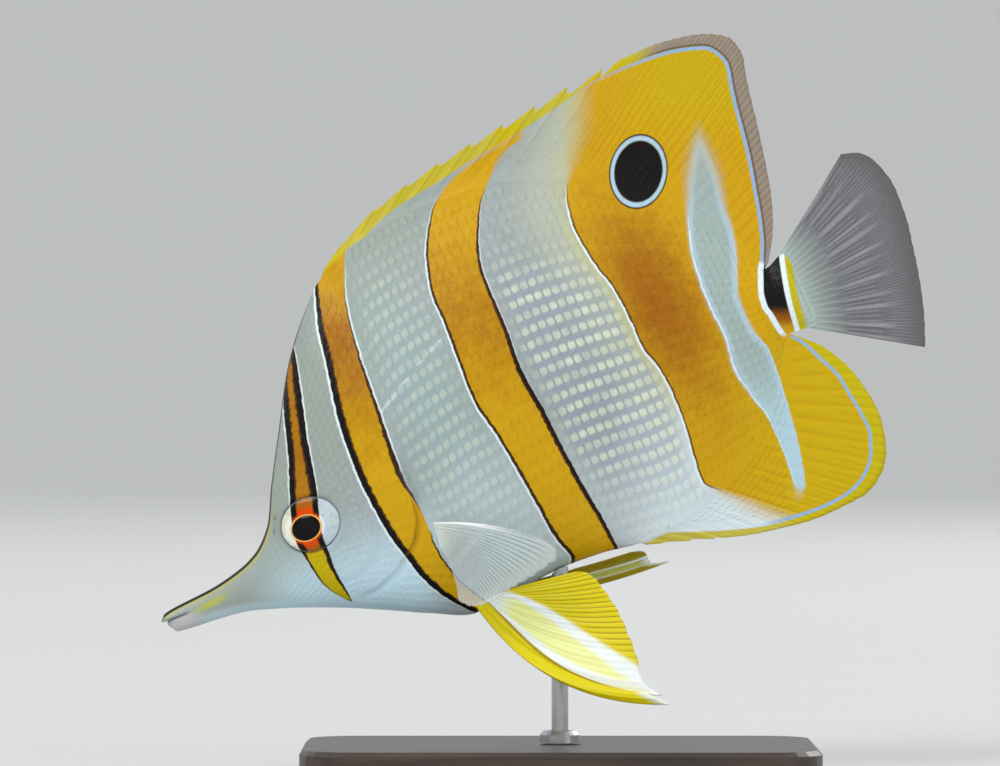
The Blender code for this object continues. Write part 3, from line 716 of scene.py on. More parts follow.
    def read(self, x: Grid, z: Grid) -> dict[str, Grid]:
        """Every field of the pattern at points of the posed side view.

        Args:
            x: X in millimetres.
            z: Z in millimetres.

        Returns:
            The fields by the names that the paint reads as attributes.
        """
        band, nearest, line = np.full(x.shape, -50.0), np.zeros(x.shape, int), np.zeros((*x.shape, 3))
        for number, one in enumerate(self.bands):
            inside, drawn = one.inside(x, z)
            nearer = inside > band
            band = np.where(nearer, inside, band)
            nearest[nearer], line[nearer] = number, drawn[nearer]
        gap, drawn = self.gap.inside(x, z)
        cuts = -gap < band
        band = np.where(cuts, -gap, band)
        line[cuts] = drawn[cuts]
        bar_front, bar_rear = self.bar.sides(x, z)
        low, high = self.bar_ends
        stalk = ramp(z, low - 0.6, low) * fall(z, high + 0.5, high + 2)
        cut = -bar_front - 0.45 + 40 * (1 - stalk)
        line[cut < band] = 0
        band = np.minimum(band, cut)
        dark, ink, pale = np.moveaxis(line, -1, 0)
        upper = z > self.halfway
        back, belly = (signed_distance(x, z, eased(path)) for path in (self.back_line, self.belly_line))
        return {
            "band": band, "dark": np.maximum(dark, 0.01), "ink": ink, "pale": pale, "bar_front": bar_front,
            "bar_rear": bar_rear, "stalk": stalk, "edge": np.where(upper, back, belly),
            "bright": np.where(upper, 0.12 + 0.88 * ramp(x, 2, 22), ramp(x, 34, 41)),
            "spot": (self.spot.share(x, z) - 1) * sum(self.spot.radii) / 2,
            "deep": self.deep(x, z, nearest), "blur": self.blur(x, z), **self.soft(x, z),
        }

    def deep(self, x: Grid, z: Grid, nearest: Grid) -> Grid:
        """How deep the orange is, from 0 to 1.

        Args:
            x: X in millimetres.
            z: Z in millimetres.
            nearest: which band each point lies in or next to.

        Returns:
            The depth, worked out by a rule of each band's own.
        """
        return np.choose(nearest, (
            0.02 + 0.68 * ramp(z, 38, 46),
            0.8 * ramp(z, 42, 82) * (1 - 0.6 * ramp(z, 78, 90)),
            0.15 + 0.42 * bell(z - 82, 14),
            0.1 + 0.75 * bell(self.deepest.share(x, z), 1),
        ))

    def blur(self, x: Grid, z: Grid) -> Grid:
        """How far a band's edge is smeared: at the top and the foot of the fourth band, beside the gap in it,
        and at the top of the third.

        Args:
            x: X in millimetres.
            z: Z in millimetres.

        Returns:
            The smear in millimetres.
        """
        front = x - self.bands[3].front(z)
        smear = 3.4 * ramp(z, 103, 116) * ramp(x, -8, -2) * fall(x, 12, 18)
        smear += 2.4 * fall(z, 47, 54) * ramp(x, 18, 26) * fall(x, 42, 46)
        smear += (1.6 * ramp(z, 97, 110) + 0.45) * ramp(front, 5, 9) * fall(x, 34, 37)
        return 0.1 + smear + 0.8 * ramp(z, 104, 112) * fall(x, -10, -8)

    def soft(self, x: Grid, z: Grid) -> dict[str, Grid]:
        """The soft changes of the ground's colour between the bands.

        Args:
            x: X in millimetres.
            z: Z in millimetres.

        Returns:
            The fields: rear behind the fourth band's front, sea between the second and third band, warm,
            beside and wash next to the fourth, and dots for the strength of the scales' dots.
        """
        _, second, third, fourth = self.bands
        before, behind = x - third.rear(z), fourth.front(z) - x
        strong = ramp(before, 0.5, 4) * ramp(behind, 0.5, 3) * fall(z, 84, 98) * ramp(z, 42, 62)
        weak = ramp(x - second.rear(z), 1, 4) * ramp(third.front(z) - x, 0.5, 4)
        return {
            "rear": ramp(-behind, 3, 6),
            "sea": bell(x - third.front(z) + 9, 9) * fall(z, 70, 100),
            "warm": bell(behind - 4, 5) * ramp(z, 50, 75) * fall(-behind, 0, 1),
            "beside": bell(behind - 1.3, 1.1) * ramp(z, 60, 74) * (1 - 0.75 * ramp(z, 94, 106)),
            "wash": bell(behind + 1, 3.5) * ramp(z, 100, 110),
            "dots": strong + 0.35 * weak * fall(z, 84, 98) * ramp(z, 40, 56),
        }


MARKINGS = Markings()


def add_object(name: str, data: bpy.types.ID) -> Object:
    """Adds an object that shows a mesh, a lamp or a camera.

    Args:
        name: the object's name.
        data: what it shows.

    Returns:
        The object, linked to the scene.
    """
    made = bpy.data.objects.new(name, data)
    bpy.context.scene.collection.objects.link(made)
    return made


class Shell:
    """Points and faces gathered for one closed mesh, with a value of each named field at every point."""

    def __init__(self) -> None:
        """Starts an empty shell."""
        self.points: list[Grid] = []
        self.faces: list[Grid] = []
        self.flat: list[bool] = []
        self.fields: dict[str, list[Grid]] = {}
        self.count = 0

    def add(self, points: Grid, **fields: Grid | float) -> Grid:
        """Adds a grid of points.

        Args:
            points: the places in the fish's frame, in millimetres, with x, y and z last.
            fields: a value at each point, or one for all of them, by the field's name.

        Returns:
            The points' numbers, in the shape of the grid.
        """
        shape = points.shape[:-1]
        size = int(np.prod(shape))
        for name, value in fields.items():
            store = self.fields.setdefault(name, [np.zeros(self.count)] if self.count else [])
            store.append(np.broadcast_to(value, shape).ravel())
        for name in self.fields.keys() - fields.keys():
            self.fields[name].append(np.zeros(size))
        self.points.append(points.reshape(-1, 3))
        numbers = np.arange(self.count, self.count + size).reshape(shape)
        self.count += size
        return numbers

    def quads(self, numbers: Grid) -> None:
        """Covers a grid of points with four-sided faces. Leading axes hold separate grids.

        Args:
            numbers: the points' numbers, with the grid's own axes last.
        """
        a, b = numbers[..., :-1, :-1], numbers[..., 1:, :-1]
        c, d = numbers[..., 1:, 1:], numbers[..., :-1, 1:]
        self.polygons(np.stack([a, b, c, d], -1).reshape(-1, 4))

    def strip(self, first: Grid, second: Grid) -> None:
        """Closes the gap between two lines of points."""
        self.quads(np.stack([first, second], 0))

    def polygons(self, numbers: Grid, flat: bool = False) -> None:
        """Adds one face for each row of point numbers, flat ones where the light must not be smoothed."""
        self.faces.append(numbers)
        self.flat.append(flat)

    def paint(self) -> None:
        """Adds the fields that the fish's paint reads, at every point."""
        for name, value in painted(np.concatenate(self.points)).items():
            self.fields[name] = [value]

    def build(self, name: str, material: Material, slot: str) -> Object:
        """Makes the mesh, with its faces turned outwards and its fields as attributes.

        Args:
            name: the piece's name.
            material: its finish.
            slot: the record's name for that finish; not used.

        Returns:
            The object, linked to the scene and riding on the root body.
        """
        placed = POSE.place(np.concatenate(self.points))
        mesh = bpy.data.meshes.new(name)
        mesh.vertices.add(len(placed))
        mesh.vertices.foreach_set("co", placed.astype(np.float32).ravel())
        sizes = np.concatenate([np.full(len(f), f.shape[1]) for f in self.faces])
        corners = np.concatenate([f.ravel() for f in self.faces])
        mesh.loops.add(len(corners))
        mesh.loops.foreach_set("vertex_index", corners.astype(np.int32))
        mesh.polygons.add(len(sizes))
        mesh.polygons.foreach_set("loop_start", (np.cumsum(sizes) - sizes).astype(np.int32))
        mesh.update(calc_edges=True)
        mesh.validate()
        work = bmesh.new()
        work.from_mesh(mesh)
        bmesh.ops.recalc_face_normals(work, faces=work.faces)
        work.to_mesh(mesh)
        work.free()
        smooth = np.concatenate([np.full(len(f), not flat) for f, flat in zip(self.faces, self.flat)])
        mesh.polygons.foreach_set("use_smooth", smooth)
        for title, store in self.fields.items():
            attribute = mesh.attributes.new(title, "FLOAT", "POINT")
            attribute.data.foreach_set("value", np.concatenate(store).astype(np.float32))
        mesh.materials.append(material)
        made = add_object(name, mesh)
        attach(made, "root")
        return made


def painted(points: Grid) -> dict[str, Grid]:
    """Every field that the fish's paint reads, at points of the fish's frame.

    Args:
        points: places in millimetres, with x, y and z last.

    Returns:
        The markings' fields, with the place along the body, the distance under the outline of the back and
        over that of the belly, and the distances from the lateral line and from the gill cover's margin.
    """
    x, z = points[..., 0], points[..., 2]
    found = MARKINGS.read(*POSE.side_view(x, z))
    found["aft"] = x
    found["crest"] = (FORM.top(x) - z) / np.hypot(1, FORM.top.slope(x))
    found["under"] = z - FORM.bottom(x)
    found["lateral"] = np.clip(np.abs(signed_distance(x, z, FORM.lateral_line)), 0, 9)
    off = ramp(z, 7, 9) + ramp(-x, -35, -33) + ramp(x, 51.6, 53)
    found["gill"] = np.clip(np.abs(FORM.gill(x, z) - 0.35), 0, 3) + 3 * off
    return found


class Value:
    """A number inside a material, which is added, multiplied and compared as a plain number is."""

    def __init__(self, wiring: "Wiring", socket: Socket) -> None:
        """Holds the socket that gives the number."""
        self.wiring = wiring
        self.socket = socket

    def __add__(self, other: "Value | float") -> "Value":
        """The sum."""
        return self.wiring.math("ADD", self, other)

    def __sub__(self, other: "Value | float") -> "Value":
        """The difference."""
        return self.wiring.math("SUBTRACT", self, other)

    def __rsub__(self, other: float) -> "Value":
        """The difference from a plain number."""
        return self.wiring.math("SUBTRACT", other, self)

    def __mul__(self, other: "Value | float") -> "Value":
        """The product."""
        return self.wiring.math("MULTIPLY", self, other)

    def __truediv__(self, other: float) -> "Value":
        """The share that this is of a plain number."""
        return self.wiring.math("MULTIPLY", self, 1 / other)

    def __abs__(self) -> "Value":
        """The size without its sign."""
        return self.wiring.math("ABSOLUTE", self)

    __radd__ = __add__
    __rmul__ = __mul__


# What a socket of a number takes, and what a socket of a colour takes.
Number = Value | float
Paint = Value | Colour


class Wiring:
    """The nodes of one material, with a short name for each kind."""

    def __init__(self, name: str) -> None:
        """Makes the material with one glossy shader joined to its output.

        Args:
            name: the material's name.
        """
        self.material = bpy.data.materials.new(name)
        self.material.use_nodes = True
        self.nodes = self.material.node_tree.nodes
        self.nodes.clear()
        self.shader = self.nodes.new("ShaderNodeBsdfPrincipled")
        output = self.nodes.new("ShaderNodeOutputMaterial")
        self.join(self.shader.outputs[0], output.inputs[0])
        self.known: dict[str, Value] = {}

    def join(self, source: Socket, target: Socket) -> None:
        """Joins two sockets."""
        self.material.node_tree.links.new(source, target)

    def put(self, target: Socket, value: Number | Colour) -> None:
        """Joins a value to a socket, or sets the socket where the value is a plain number or colour.

        Args:
            target: the socket.
            value: what it gets.
        """
        if isinstance(value, Value):
            self.join(value.socket, target)
        elif isinstance(value, tuple) and target.type == "RGBA":
            target.default_value = (*value, 1)
        else:
            target.default_value = value

    def set(self, **sockets: Number | Colour) -> None:
        """Sets the shader's sockets, each named with _ for a space."""
        for title, value in sockets.items():
            self.put(self.shader.inputs[title.replace("_", " ")], value)

    def math(self, operation: str, a: Number, b: Number = 0.0) -> Value:
        """One step of arithmetic.

        Args:
            operation: Blender's name for it.
            a: the first number.
            b: the second one.

        Returns:
            The result.
        """
        node = self.nodes.new("ShaderNodeMath")
        node.operation = operation
        self.put(node.inputs[0], a)
        self.put(node.inputs[1], b)
        return Value(self, node.outputs[0])

    def field(self, name: str) -> Value:
        """The mesh's own field of that name.

        Args:
            name: the field's name.

        Returns:
            The field's value.
        """
        if name not in self.known:
            node = self.nodes.new("ShaderNodeAttribute")
            node.attribute_name = name
            self.known[name] = Value(self, node.outputs["Fac"])
        return self.known[name]

    def fields(self, *names: str) -> Iterator[Value]:
        """The mesh's own fields of those names."""
        return (self.field(name) for name in names)

    def place(self) -> tuple[Value, Value]:
        """The point's X and Z in millimetres.

        Returns:
            X and Z.
        """
        if "X" not in self.known:
            point = self.nodes.new("ShaderNodeTexCoord")
            parts = self.nodes.new("ShaderNodeSeparateXYZ")
            self.join(point.outputs["Object"], parts.inputs[0])
            for axis in "XZ":
                self.known[axis] = Value(self, parts.outputs[axis]) / MM
        return self.known["X"], self.known["Z"]

    def ramp(self, value: Value, low: Number, high: Number) -> Value:
        """Rises smoothly from 0 at low to 1 at high.

        Args:
            value: what is compared.
            low: where the rise starts.
            high: where it ends.

        Returns:
            The share.
        """
        node = self.nodes.new("ShaderNodeMapRange")
        node.interpolation_type = "SMOOTHSTEP"
        self.put(node.inputs["Value"], value)
        self.put(node.inputs["From Min"], low)
        self.put(node.inputs["From Max"], high)
        return Value(self, node.outputs[0])

    def fall(self, value: Value, low: Number, high: Number) -> Value:
        """Falls smoothly from 1 at low to 0 at high."""
        return 1 - self.ramp(value, low, high)

    def near(self, value: Value, full: float, none: float) -> Value:
        """1 where a distance is under full, falling to 0 at none."""
        return self.fall(abs(value), full, none)

    def mix(self, share: Number, a: Paint, b: Paint) -> Value:
        """The first colour at a share of 0 and the second at 1.

        Args:
            share: how much of the second colour there is.
            a: the first colour.
            b: the second one.

        Returns:
            The mixed colour.
        """
        node = self.nodes.new("ShaderNodeMix")
        node.data_type = "RGBA"
        self.put(node.inputs[0], share)
        self.put(node.inputs[6], a)
        self.put(node.inputs[7], b)
        return Value(self, node.outputs[2])

    def lay(self, base: Paint, *coats: tuple[Number, Paint]) -> Value:
        """Lays colours over one another.

        Args:
            base: the lowest colour.
            coats: how much each next one covers, from 0 to 1, and its colour.

        Returns:
            The mixed colour.
        """
        for share, colour in coats:
            base = self.mix(share, base, colour)
        return base

    def noise(self, size: float, detail: float = 2.0, stretch: Colour = (1.0, 1.0, 1.0)) -> Value:
        """A cloudy pattern from about 0 to 1.

        Args:
            size: the size of one cloud in millimetres.
            detail: how many finer layers it has.
            stretch: how much longer the clouds are along X, Y and Z.

        Returns:
            The pattern's value.
        """
        node = self.nodes.new("ShaderNodeTexNoise")
        node.inputs["Scale"].default_value = 1 / (size * MM)
        node.inputs["Detail"].default_value = detail
        point = self.nodes.new("ShaderNodeTexCoord")
        turn = self.nodes.new("ShaderNodeMapping")
        turn.inputs["Scale"].default_value = tuple(1 / s for s in stretch)
        self.join(point.outputs["Object"], turn.inputs["Vector"])
        self.join(turn.outputs[0], node.inputs["Vector"])
        return Value(self, node.outputs["Fac"])

    def bump(self, height: Value, depth: float) -> None:
        """Raises the surface by a height from 0 to 1, times a depth in millimetres.

        Args:
            height: the height.
            depth: the depth.
        """
        node = self.nodes.new("ShaderNodeBump")
        node.inputs["Distance"].default_value = depth * MM
        node.inputs["Strength"].default_value = 1.0
        self.put(node.inputs["Height"], height)
        self.join(node.outputs[0], self.shader.inputs["Normal"])


@dataclass(frozen=True)
class FishPaint:
    """The fish's colours, and how they lie over one another. Numbers beside a place or a distance are
    millimetres of the posed side view, and a number that multiplies a share is how strong the colour gets."""

    silver: Colour = srgb(162, 171, 171)
    # A darker silver: a random mottle on the ground, and the painted shadow line along the gill slit.
    silver_mottle_and_shade: Colour = srgb(124, 134, 140)
    brow: Colour = srgb(152, 162, 154)
    # The cheek's pale bright blue: partly its own silver blue, partly a painted highlight.
    cheek: Colour = srgb(206, 240, 255)
    sea: Colour = srgb(156, 184, 180)
    cream: Colour = srgb(188, 192, 170)
    lavender: Colour = srgb(222, 236, 242)
    back: Colour = srgb(160, 180, 176)
    trail: Colour = srgb(170, 208, 220)
    glow: Colour = srgb(178, 208, 226)
    yellow: Colour = srgb(210, 164, 4)
    lemon: Colour = srgb(202, 180, 2)
    orange: Colour = srgb(158, 92, 1)
    ink: Colour = srgb(8, 6, 5)
    brown: Colour = srgb(66, 38, 8)
    white: Colour = srgb(232, 246, 252)
    dot: Colour = srgb(222, 230, 208)
    between: Colour = srgb(142, 158, 178)
    straw: Colour = srgb(204, 202, 132)
    blue: Colour = srgb(144, 182, 222)
    olive: Colour = srgb(200, 184, 6)
    grey: Colour = srgb(148, 137, 130)
    tail_root: Colour = srgb(176, 194, 186)
    snout: Colour = srgb(180, 190, 48)
    jaw: Colour = srgb(214, 204, 206)
    ridge: Colour = srgb(26, 18, 2)

    def ground(self, w: Wiring) -> Value:
        """The silvery ground between the bands, with a fine mottle: greenish on the brow, bluish on the
        cheek and the head's lower rim, a pale bright blue that is partly their own silver and partly a
        painted highlight, sea green between the second and third band, then lavender, cream by the fourth,
        and grey green behind it.

        Args:
            w: the material's nodes.

        Returns:
            The ground's colour.
        """
        x, z = w.place()
        aft, under, rear, band = w.fields("aft", "under", "rear", "band")
        sea, warm, beside, wash = w.fields("sea", "warm", "beside", "wash")
        brow = w.fall(x + z * -0.35, -64, -53) * w.ramp(x, -68, -62)
        low = w.fall(z + x * -0.3, 42, 62) * w.ramp(x, -58, -44) * w.fall(x, -26, -16)
        rim = w.near(aft - 16, 6, 14) * w.fall(under, 0.5, 2.2)
        return w.lay(
            self.silver,
            (w.ramp(w.noise(1.1, 3.0), 0.35, 0.75) * 0.3, self.silver_mottle_and_shade),
            (brow * 0.85, self.brow),
            # The cheek and the head's lower rim in pale bright blue: their silver blue, with a painted
            # highlight.
            (low * 0.9, self.cheek),
            (rim * 0.6, self.cheek),
            (sea * 0.6, self.sea),
            (w.ramp(x, 6, 22) * w.fall(z, 62, 80) * 0.8, self.lavender),
            (w.fall(z, 46, 66) * w.ramp(x, -26, -14) * 0.35, self.lavender),
            (warm * 0.7, self.cream),
            (beside * 0.55, self.straw),
            (wash * 0.5, self.straw),
            (rear * 0.85, w.mix(w.ramp(z, 58, 78), self.trail, self.back)),
            (w.near(band + 0.4, 0.2, 1.1) * rear * 0.7, self.glow),
        )

    def scales(self, w: Wiring, base: Value, plate: bool) -> Value:
        """Rows of cream dots, one on each scale, with a blue grey line between neighbouring rows.

        Args:
            w: the material's nodes.
            base: the colour underneath.
            plate: whether it is for the scales.

        Returns:
            The colour with the dots.
        """
        strength = w.field("dots") * w.fall(w.field("fin"), 0.0, 1.5)
        if not plate:
            return w.mix(strength * 0.45, base, self.between)
        along, across = w.field("along"), abs(w.field("across"))
        uneven = strength * (0.4 + 0.9 * w.ramp(w.noise(3.0, 4.0), 0.3, 0.7))
        line = w.math("MAXIMUM", w.ramp(across, 0.5, 0.85), w.fall(along, 0.05, 0.3) * 0.15)
        dot = w.fall(across, 0.25, 0.85) * w.ramp(along, 0.05, 0.3) * w.fall(along, 0.9, 1.2)
        line, dot = line * (0.07 + 0.5 * uneven), dot * (0.07 + 0.6 * uneven)
        return w.lay(base, (line, self.between), (dot, self.dot))

    def bands(self, w: Wiring, base: Value, plate: bool) -> Value:
        """The orange bands with the dark line inside each edge and the pale line outside it. Both lines go
        where a band fades out softly.

        Args:
            w: the material's nodes.
            base: the colour underneath.
            plate: whether it is for the scales.

        Returns:
            The colour with the bands.
        """
        x, z = w.place()
        deep, blur, width, ink, pale = w.fields("deep", "blur", "dark", "ink", "pale")
        band = w.field("band") + (w.noise(0.7) - 0.5) * 0.22 + (w.noise(1.5, 3.0) - 0.5) * 0.4
        clean = w.fall(blur, 0.3, 1.4)
        tone = deep + (w.noise(2.5, 3.0) - 0.5) * 0.4 + (w.noise(0.6, 3.0) - 0.5) * 0.3
        lemon = w.fall(z, 38, 44) * w.fall(x, -36, -34)
        lemon = w.math("MAXIMUM", w.ramp(x, 24, 46) * w.fall(z, 74, 84) * 0.55, lemon)
        lemon = w.math("MAXIMUM", w.ramp(z, 110, 122) * w.ramp(x, 4, 20) * 0.6, lemon)
        orange = w.lay(self.yellow, (lemon, self.lemon), (w.ramp(tone, 0.05, 1.0), self.orange))
        if plate:
            rows = w.ramp(abs(w.field("across")), 0.5, 0.95) * (0.12 + 0.3 * deep)
            orange = w.mix(rows, orange, self.orange)
        dark = width * (0.65 + 0.7 * w.noise(0.9, 3.0))
        line = w.ramp(band, -0.12, 0.05) * w.fall(band, dark * 0.6, dark * 1.4) * ink * clean
        pale = pale * clean
        rim = w.ramp(band, pale * -1.2, pale * -0.75) * w.fall(band, -0.18, -0.02)
        return w.lay(
            base,
            (w.ramp(band, blur * -1, blur), orange),
            (w.ramp(line, 0.0, 0.45), self.brown),
            (w.ramp(line, 0.55, 0.95), self.ink),
            (rim * w.ramp(pale, 0.02, 0.5) * 0.95, self.white),
        )

    def fins(self, w: Wiring, base: Value) -> Value:
        """The fins: a deeper line between neighbouring rays, forked towards the edge, then the blue line
        under the edge, with olive yellow outside it in front and grey brown behind.

        Args:
            w: the material's nodes.
            base: the colour underneath.

        Returns:
            The colour with the fins' lines.
        """
        x, _ = w.place()
        out, band, edge, bright = w.fields("out", "band", "edge", "bright")
        ray, forked = w.field("ray") * (2 * math.pi), w.ramp(out, 0.45, 0.7)
        stripe = w.math("COSINE", ray) * (1 - forked) + w.math("COSINE", ray * 2) * forked
        on_fin = w.ramp(w.field("fin"), 0.3, 1.2)
        behind = w.ramp(x, 12, 19) * w.ramp(w.field("upper"), 0.4, 0.6)
        strip = w.lay(
            self.olive, (behind, self.grey), (w.ramp(stripe, 0.2, 1.0) * (0.12 + 0.18 * behind), self.brown)
        )
        return w.lay(
            base,
            (w.ramp(stripe, 0.0, 1.0) * w.ramp(out, 0.02, 0.3) * w.ramp(band, 0.0, 1.0) * 0.16, self.orange),
            (w.ramp(edge, 0.1, 0.5) * on_fin * 0.92, strip),
            (w.near(edge - 0.55, 0.05, 0.3) * behind * on_fin * 0.6, self.brown),
            (w.near(edge, 0.16, 0.42) * bright * on_fin, self.blue),
        )

    def stalk(self, w: Wiring, base: Value) -> Value:
        """The tail stalk: a dark bar that turns orange at its foot, white lines in front of it and behind,
        then a yellow olive line and the grey root of the tail.

        Args:
            w: the material's nodes.
            base: the colour underneath.

        Returns:
            The colour with the bar.
        """
        _, z = w.place()
        front, rear, stalk, fin = w.fields("bar_front", "bar_rear", "stalk", "fin")
        here = stalk * w.fall(fin, 0.3, 1.2)
        inside = w.ramp(front, -0.1, 0.15) * w.ramp(rear, -0.1, 0.15) * here
        foot = w.mix(w.ramp(z, 80, 82), self.yellow, self.orange)
        return w.lay(
            base,
            (w.ramp(rear * -1, 2.1, 2.6) * here, self.tail_root),
            (w.near(rear + 1.5, 0.4, 1.0) * here, self.olive),
            (w.near(rear + 0.45, 0.32, 0.6) * here, self.white),
            (inside, w.mix(w.ramp(z, 81.6, 84.4), foot, self.ink)),
            (w.near(front + 0.45, 0.35, 0.62) * here, self.white),
        )

    def accents(self, w: Wiring, base: Value) -> Value:
        """The eye spot, the lateral line, the gill cover's edge, with a painted shadow line where it crosses
        the silver ground, and the snout with its dark ridge.

        Args:
            w: the material's nodes.
            base: the colour underneath.

        Returns:
            The colour with the accents.
        """
        spot, band, stalk, lateral = w.fields("spot", "band", "stalk", "lateral")
        aft, crest = w.fields("aft", "crest")
        bare = w.fall(band, -0.6, -0.1) * (1 - stalk)
        gill, coloured = w.near(w.field("gill"), 0.1, 0.45), w.ramp(band, 0.2, 0.8)
        fade = w.fall(aft, 42, 49) * w.ramp(aft, 0.0, 1.0)
        fringe = w.near(crest - 0.7, 0.1, 0.4) * w.fall(aft, 22, 30) * fade
        return w.lay(
            base,
            (w.ramp(spot, -0.2, 0.1) * w.fall(spot, 1.05, 1.3), self.brown),
            (w.near(spot - 0.5, 0.2, 0.55), self.glow),
            (w.fall(spot, -0.1, 0.15), self.ink),
            (w.near(lateral, 0.1, 0.4) * bare * 0.4, self.white),
            (gill * coloured * 0.5, self.orange),
            # A painted shadow line along the gill slit, where it crosses the silver ground.
            (gill * (1 - coloured) * 0.15, self.silver_mottle_and_shade),
            (w.fall(aft, 3, 9) * w.ramp(crest, 1.9, 2.6) * 0.6, self.jaw),
            (w.near(aft - 9.5, 0.5, 5.0) * w.near(crest - 2.3, 0.2, 1.0) * 0.8, self.snout),
            (fringe * 0.5, self.olive),
            (w.fall(crest + w.ramp(aft, 20, 32) * 0.25, 0.35, 0.6) * fade, self.ridge),
        )

    def material(self, name: str, plate: bool) -> Material:
        """The paint for the skin, or for the scales over it.

        Args:
            name: the material's name.
            plate: whether it is for the scales, which know the middle of each plate.

        Returns:
            The finished material.
        """
        w = Wiring(name)
        base = self.fins(w, self.bands(w, self.scales(w, self.ground(w), plate), plate))
        base = self.accents(w, self.stalk(w, base))
        grain = w.noise(0.35, 3.0)
        w.set(
            Base_Color=base, Roughness=0.34 + 0.22 * grain, Specular_IOR_Level=0.16, Coat_Weight=0.06,
            Coat_Roughness=0.12,
        )
        rays = w.math("COSINE", w.field("ray") * (4 * math.pi)) * w.ramp(w.field("out"), 0.3, 0.8)
        w.bump(grain * 0.6 + rays * -0.35, 0.05)
        return w.material


@dataclass(frozen=True)
class EyePaint:
    """The eye: a black pupil in a thin orange ring, an iris crossed by the first band, painted highlights and
    a dark rim.
    """

    pupil: Colour = srgb(4, 4, 8)
    ring: Colour = srgb(244, 184, 96)
    red: Colour = srgb(224, 74, 0)
    amber: Colour = srgb(166, 100, 6)
    front: Colour = srgb(224, 224, 200)
    rear: Colour = srgb(196, 212, 220)
    shade: Colour = srgb(140, 152, 164)
    ink: Colour = srgb(16, 11, 10)
    rim: Colour = srgb(120, 126, 130)
    glint: Colour = srgb(240, 246, 242)

    def material(self) -> Material:
        """The eye's finish, with a clear glossy coat over the painted iris.

        Returns:
            The finished material.
        """
        w = Wiring("eye")
        x, _ = w.place()
        band, pupil = w.field("band") + (w.noise(0.5) - 0.5) * 0.25, w.field("pupil")
        # Painted highlights: pale arcs beside the pupil, one in front of it and one behind.
        arc = w.near(pupil - 0.55, 0.1, 0.4) * w.ramp(x, -43.6, -42.8)
        arc = arc + w.near(pupil - 0.8, 0.2, 0.7) * w.ramp(x * -1, 46, 47)
        fleck = w.ramp(w.noise(0.3, 3.0), 0.5, 0.8) * 0.35
        iris = w.lay(self.red, (w.ramp(pupil, 0.9, 2.2), self.amber), (fleck, self.ink))
        base = w.lay(
            self.front,
            (w.ramp(x, -46, -43), self.rear),
            (w.ramp(w.noise(0.9, 4.0), 0.45, 0.75) * 0.55, self.shade),
            # The painted highlight arcs, in the glint colour.
            (w.math("MINIMUM", arc, 1.0) * 0.75, self.glint),
            (w.ramp(band, -0.1, 0.1), iris),
            (w.ramp(band, -0.15, 0.05) * w.fall(band, 0.8, 1.2) * w.ramp(pupil, 0.2, 0.9), self.ink),
            (w.near(pupil - 0.13, 0.07, 0.2), self.ring),
            (w.fall(pupil, -0.05, 0.08), self.pupil),
            (w.ramp(w.field("rim"), 0.97, 0.995), self.rim),
        )
        w.set(Base_Color=base, Roughness=0.2, Specular_IOR_Level=0.03, Coat_Weight=0.3, Coat_Roughness=0.02)
        return w.material


@dataclass(frozen=True)
class FinPaint:
    """A see-through fin: a membrane between paler rays, clearer towards its edge."""

    name: str
    membrane: Colour
    ray: Colour
    edge: Colour
    clear: float
    root: Colour
    streak: float
    lead: float = 0.0
    patchy: float = 0.0
    finest: float = 0.0
    spine: Colour = srgb(244, 250, 250)

    def material(self) -> Material:
        """The fin's finish, with each ray a line that forks twice on its way out.

        Returns:
            The finished material.
        """
        w = Wiring(self.name)
        out, ray = w.field("out"), w.field("ray") * (2 * math.pi)
        single, double, fine = (w.math("COSINE", ray * count) for count in (1, 2, 4))
        fork, last = w.ramp(out, 0.3, 0.45), w.ramp(out, 0.6, 0.75) * self.finest
        lines = (single * (1 - fork) + double * fork * (1 - last) + fine * last) * -0.5 + 0.5
        on_ray = w.ramp(lines, 0.5, 0.98)
        patch = w.math("SINE", ray * 0.83 + 0.6) * w.math("SINE", ray * 0.19 + 0.4)
        lead = w.ramp(w.field("across"), 0.93, 0.96) * w.fall(out, 0.35, 0.75) * self.lead
        base = w.lay(
            self.membrane,
            (w.ramp(w.noise(2.2, 3.0), 0.35, 0.7) * 0.5, self.edge),
            (on_ray * self.streak, self.ray),
            (w.ramp(patch, 0.1, 0.8) * w.near(out - 0.55, 0.1, 0.3) * self.patchy, self.ray),
            (w.ramp(out, 0.8, 1.0) * 0.8, self.edge),
            (w.fall(out, 0.04, 0.45) * 0.9, self.root),
            (lead, self.spine),
        )
        thick = w.math("MAXIMUM", w.fall(out, 0.0, 0.3), lead)
        alpha = w.math("MINIMUM", 1 - self.clear * (1 - 0.4 * on_ray) * (1 - thick), 1.0)
        w.set(Base_Color=base, Alpha=alpha, Roughness=0.35 + 0.15 * w.noise(0.4), Specular_IOR_Level=0.3)
        w.bump(on_ray, 0.05)
        return w.material


